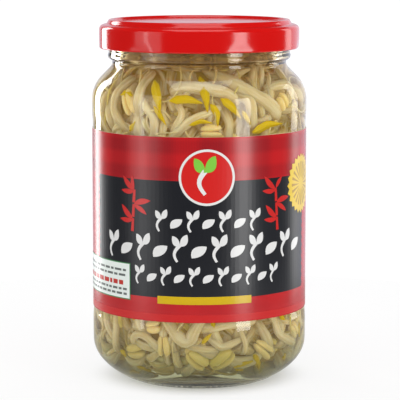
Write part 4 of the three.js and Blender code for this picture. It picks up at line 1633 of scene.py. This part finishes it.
def brine():
    """The liquid, with a level top that climbs the glass a little at its edge."""
    side = softened(beside(cavity(), BRINE_CLEARANCE))
    edge = BORE_RADIUS - BRINE_CLEARANCE
    climb = [(0, 0.9), (0.3, 0.35), (1.0, 0.06), (2.2, 0)]
    top = softened([(edge - inward, BRINE_LEVEL + rise) for inward, rise in climb])
    vertices, faces = lathe_data(side + top + [(0, BRINE_LEVEL)], 96)
    obj = mesh_object("brine_fill", vertices, faces, [brine_body(), brine_surface()])
    for face in obj.data.polygons:
        if all(obj.data.vertices[i].co.z >= BRINE_LEVEL * MM - 1e-6 for i in face.vertices):
            face.material_index = 1
    return obj


# Stage


def softbox(name, degrees, height, distance, width, tall, brightness, tint=(1, 1, 1)):
    """A rectangular lamp that faces the jar, from degrees to the right of the front. Lengths in metres."""
    light = bpy.data.lights.new(name, "AREA")
    light.shape = "RECTANGLE"
    light.size = width
    light.size_y = tall
    light.energy = math.pi * width * tall * brightness
    light.color = tint
    obj = in_scene(name, light)
    obj.location = at(degrees, distance, height)
    aim = Vector((0, 0, LAMP_AIM)) - obj.location
    obj.rotation_euler = aim.to_track_quat("-Z", "Y").to_euler()
    return obj


def lamps():
    """The lamps round the jar, and two walls that its glass and lid mirror."""
    for lamp in LAMPS:
        softbox(*lamp)
    for lamp in WALLS:
        wall = softbox(*lamp, WALL_TINT)
        wall.visible_camera = False
        wall.visible_transmission = False


def floor():
    """The table top, which isn't a piece of the jar."""
    rim = [at(degrees, FLOOR_RADIUS, 0) for degrees in range(0, 360, 3)]
    mesh_object("floor", rim, [list(range(len(rim)))], [floor_material()])


def world():
    """Surroundings that are white when seen, softly lit, and nearly dark in mirrors."""
    studio = bpy.data.worlds.new("studio")
    studio.use_nodes = True
    tree = studio.node_tree
    glossy = node(tree, "LightPath").outputs["Is Glossy Ray"]
    soft = maths(tree, "MULTIPLY_ADD", glossy, MIRRORED_WORLD - SOFT_WORLD, SOFT_WORLD)
    seen = seen_rays(tree)
    unseen = maths(tree, "MULTIPLY", soft, maths(tree, "SUBTRACT", 1.0, seen))
    background = tree.nodes["Background"].inputs
    feed(tree, background["Color"], (1, 1, 1))
    feed(tree, background["Strength"], maths(tree, "MULTIPLY_ADD", seen, SEEN_WORLD, unseen))
    bpy.context.scene.world = studio
    bpy.context.scene.view_settings.view_transform = "Standard"


def camera():
    """The camera of the photograph, in front of the jar and a little above it."""
    data = bpy.data.cameras.new("camera")
    data.sensor_width = SENSOR
    data.lens = FOCAL_LENGTH
    data.shift_x = AXIS_SHIFT
    data.clip_start = 0.05
    obj = in_scene("camera", data)
    obj.location = Vector((0, -CAMERA_DISTANCE, CAMERA_HEIGHT)) * MM
    obj.rotation_euler = (math.radians(90 - CAMERA_PITCH), 0, 0)
    bpy.context.scene.camera = obj


# Assembly


def mount(pieces, body, *nodes):
    """The pieces ride on a body and stand for its nodes."""
    for piece in pieces:
        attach(piece, body)
        if nodes:
            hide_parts(*nodes)


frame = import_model()
compound = frame["nodes"]["sealing_gasket"].data.materials
compound.clear()
compound.append(sealing_compound())

mount([glass_jar()], "jar", "glass_jar")
mount([lid()], "lid", "lid")
mount([label_paper()], "jar", "label")
mount(label_print(), "jar")
colouring = sprout_colouring()
mount(packed_sprouts(colouring), "jar", "bean_sprouts")
mount([pressed_core(colouring)], "jar", "bean_sprouts")
mount([brine()], "jar", "brine")
floor()
world()
lamps()
camera()
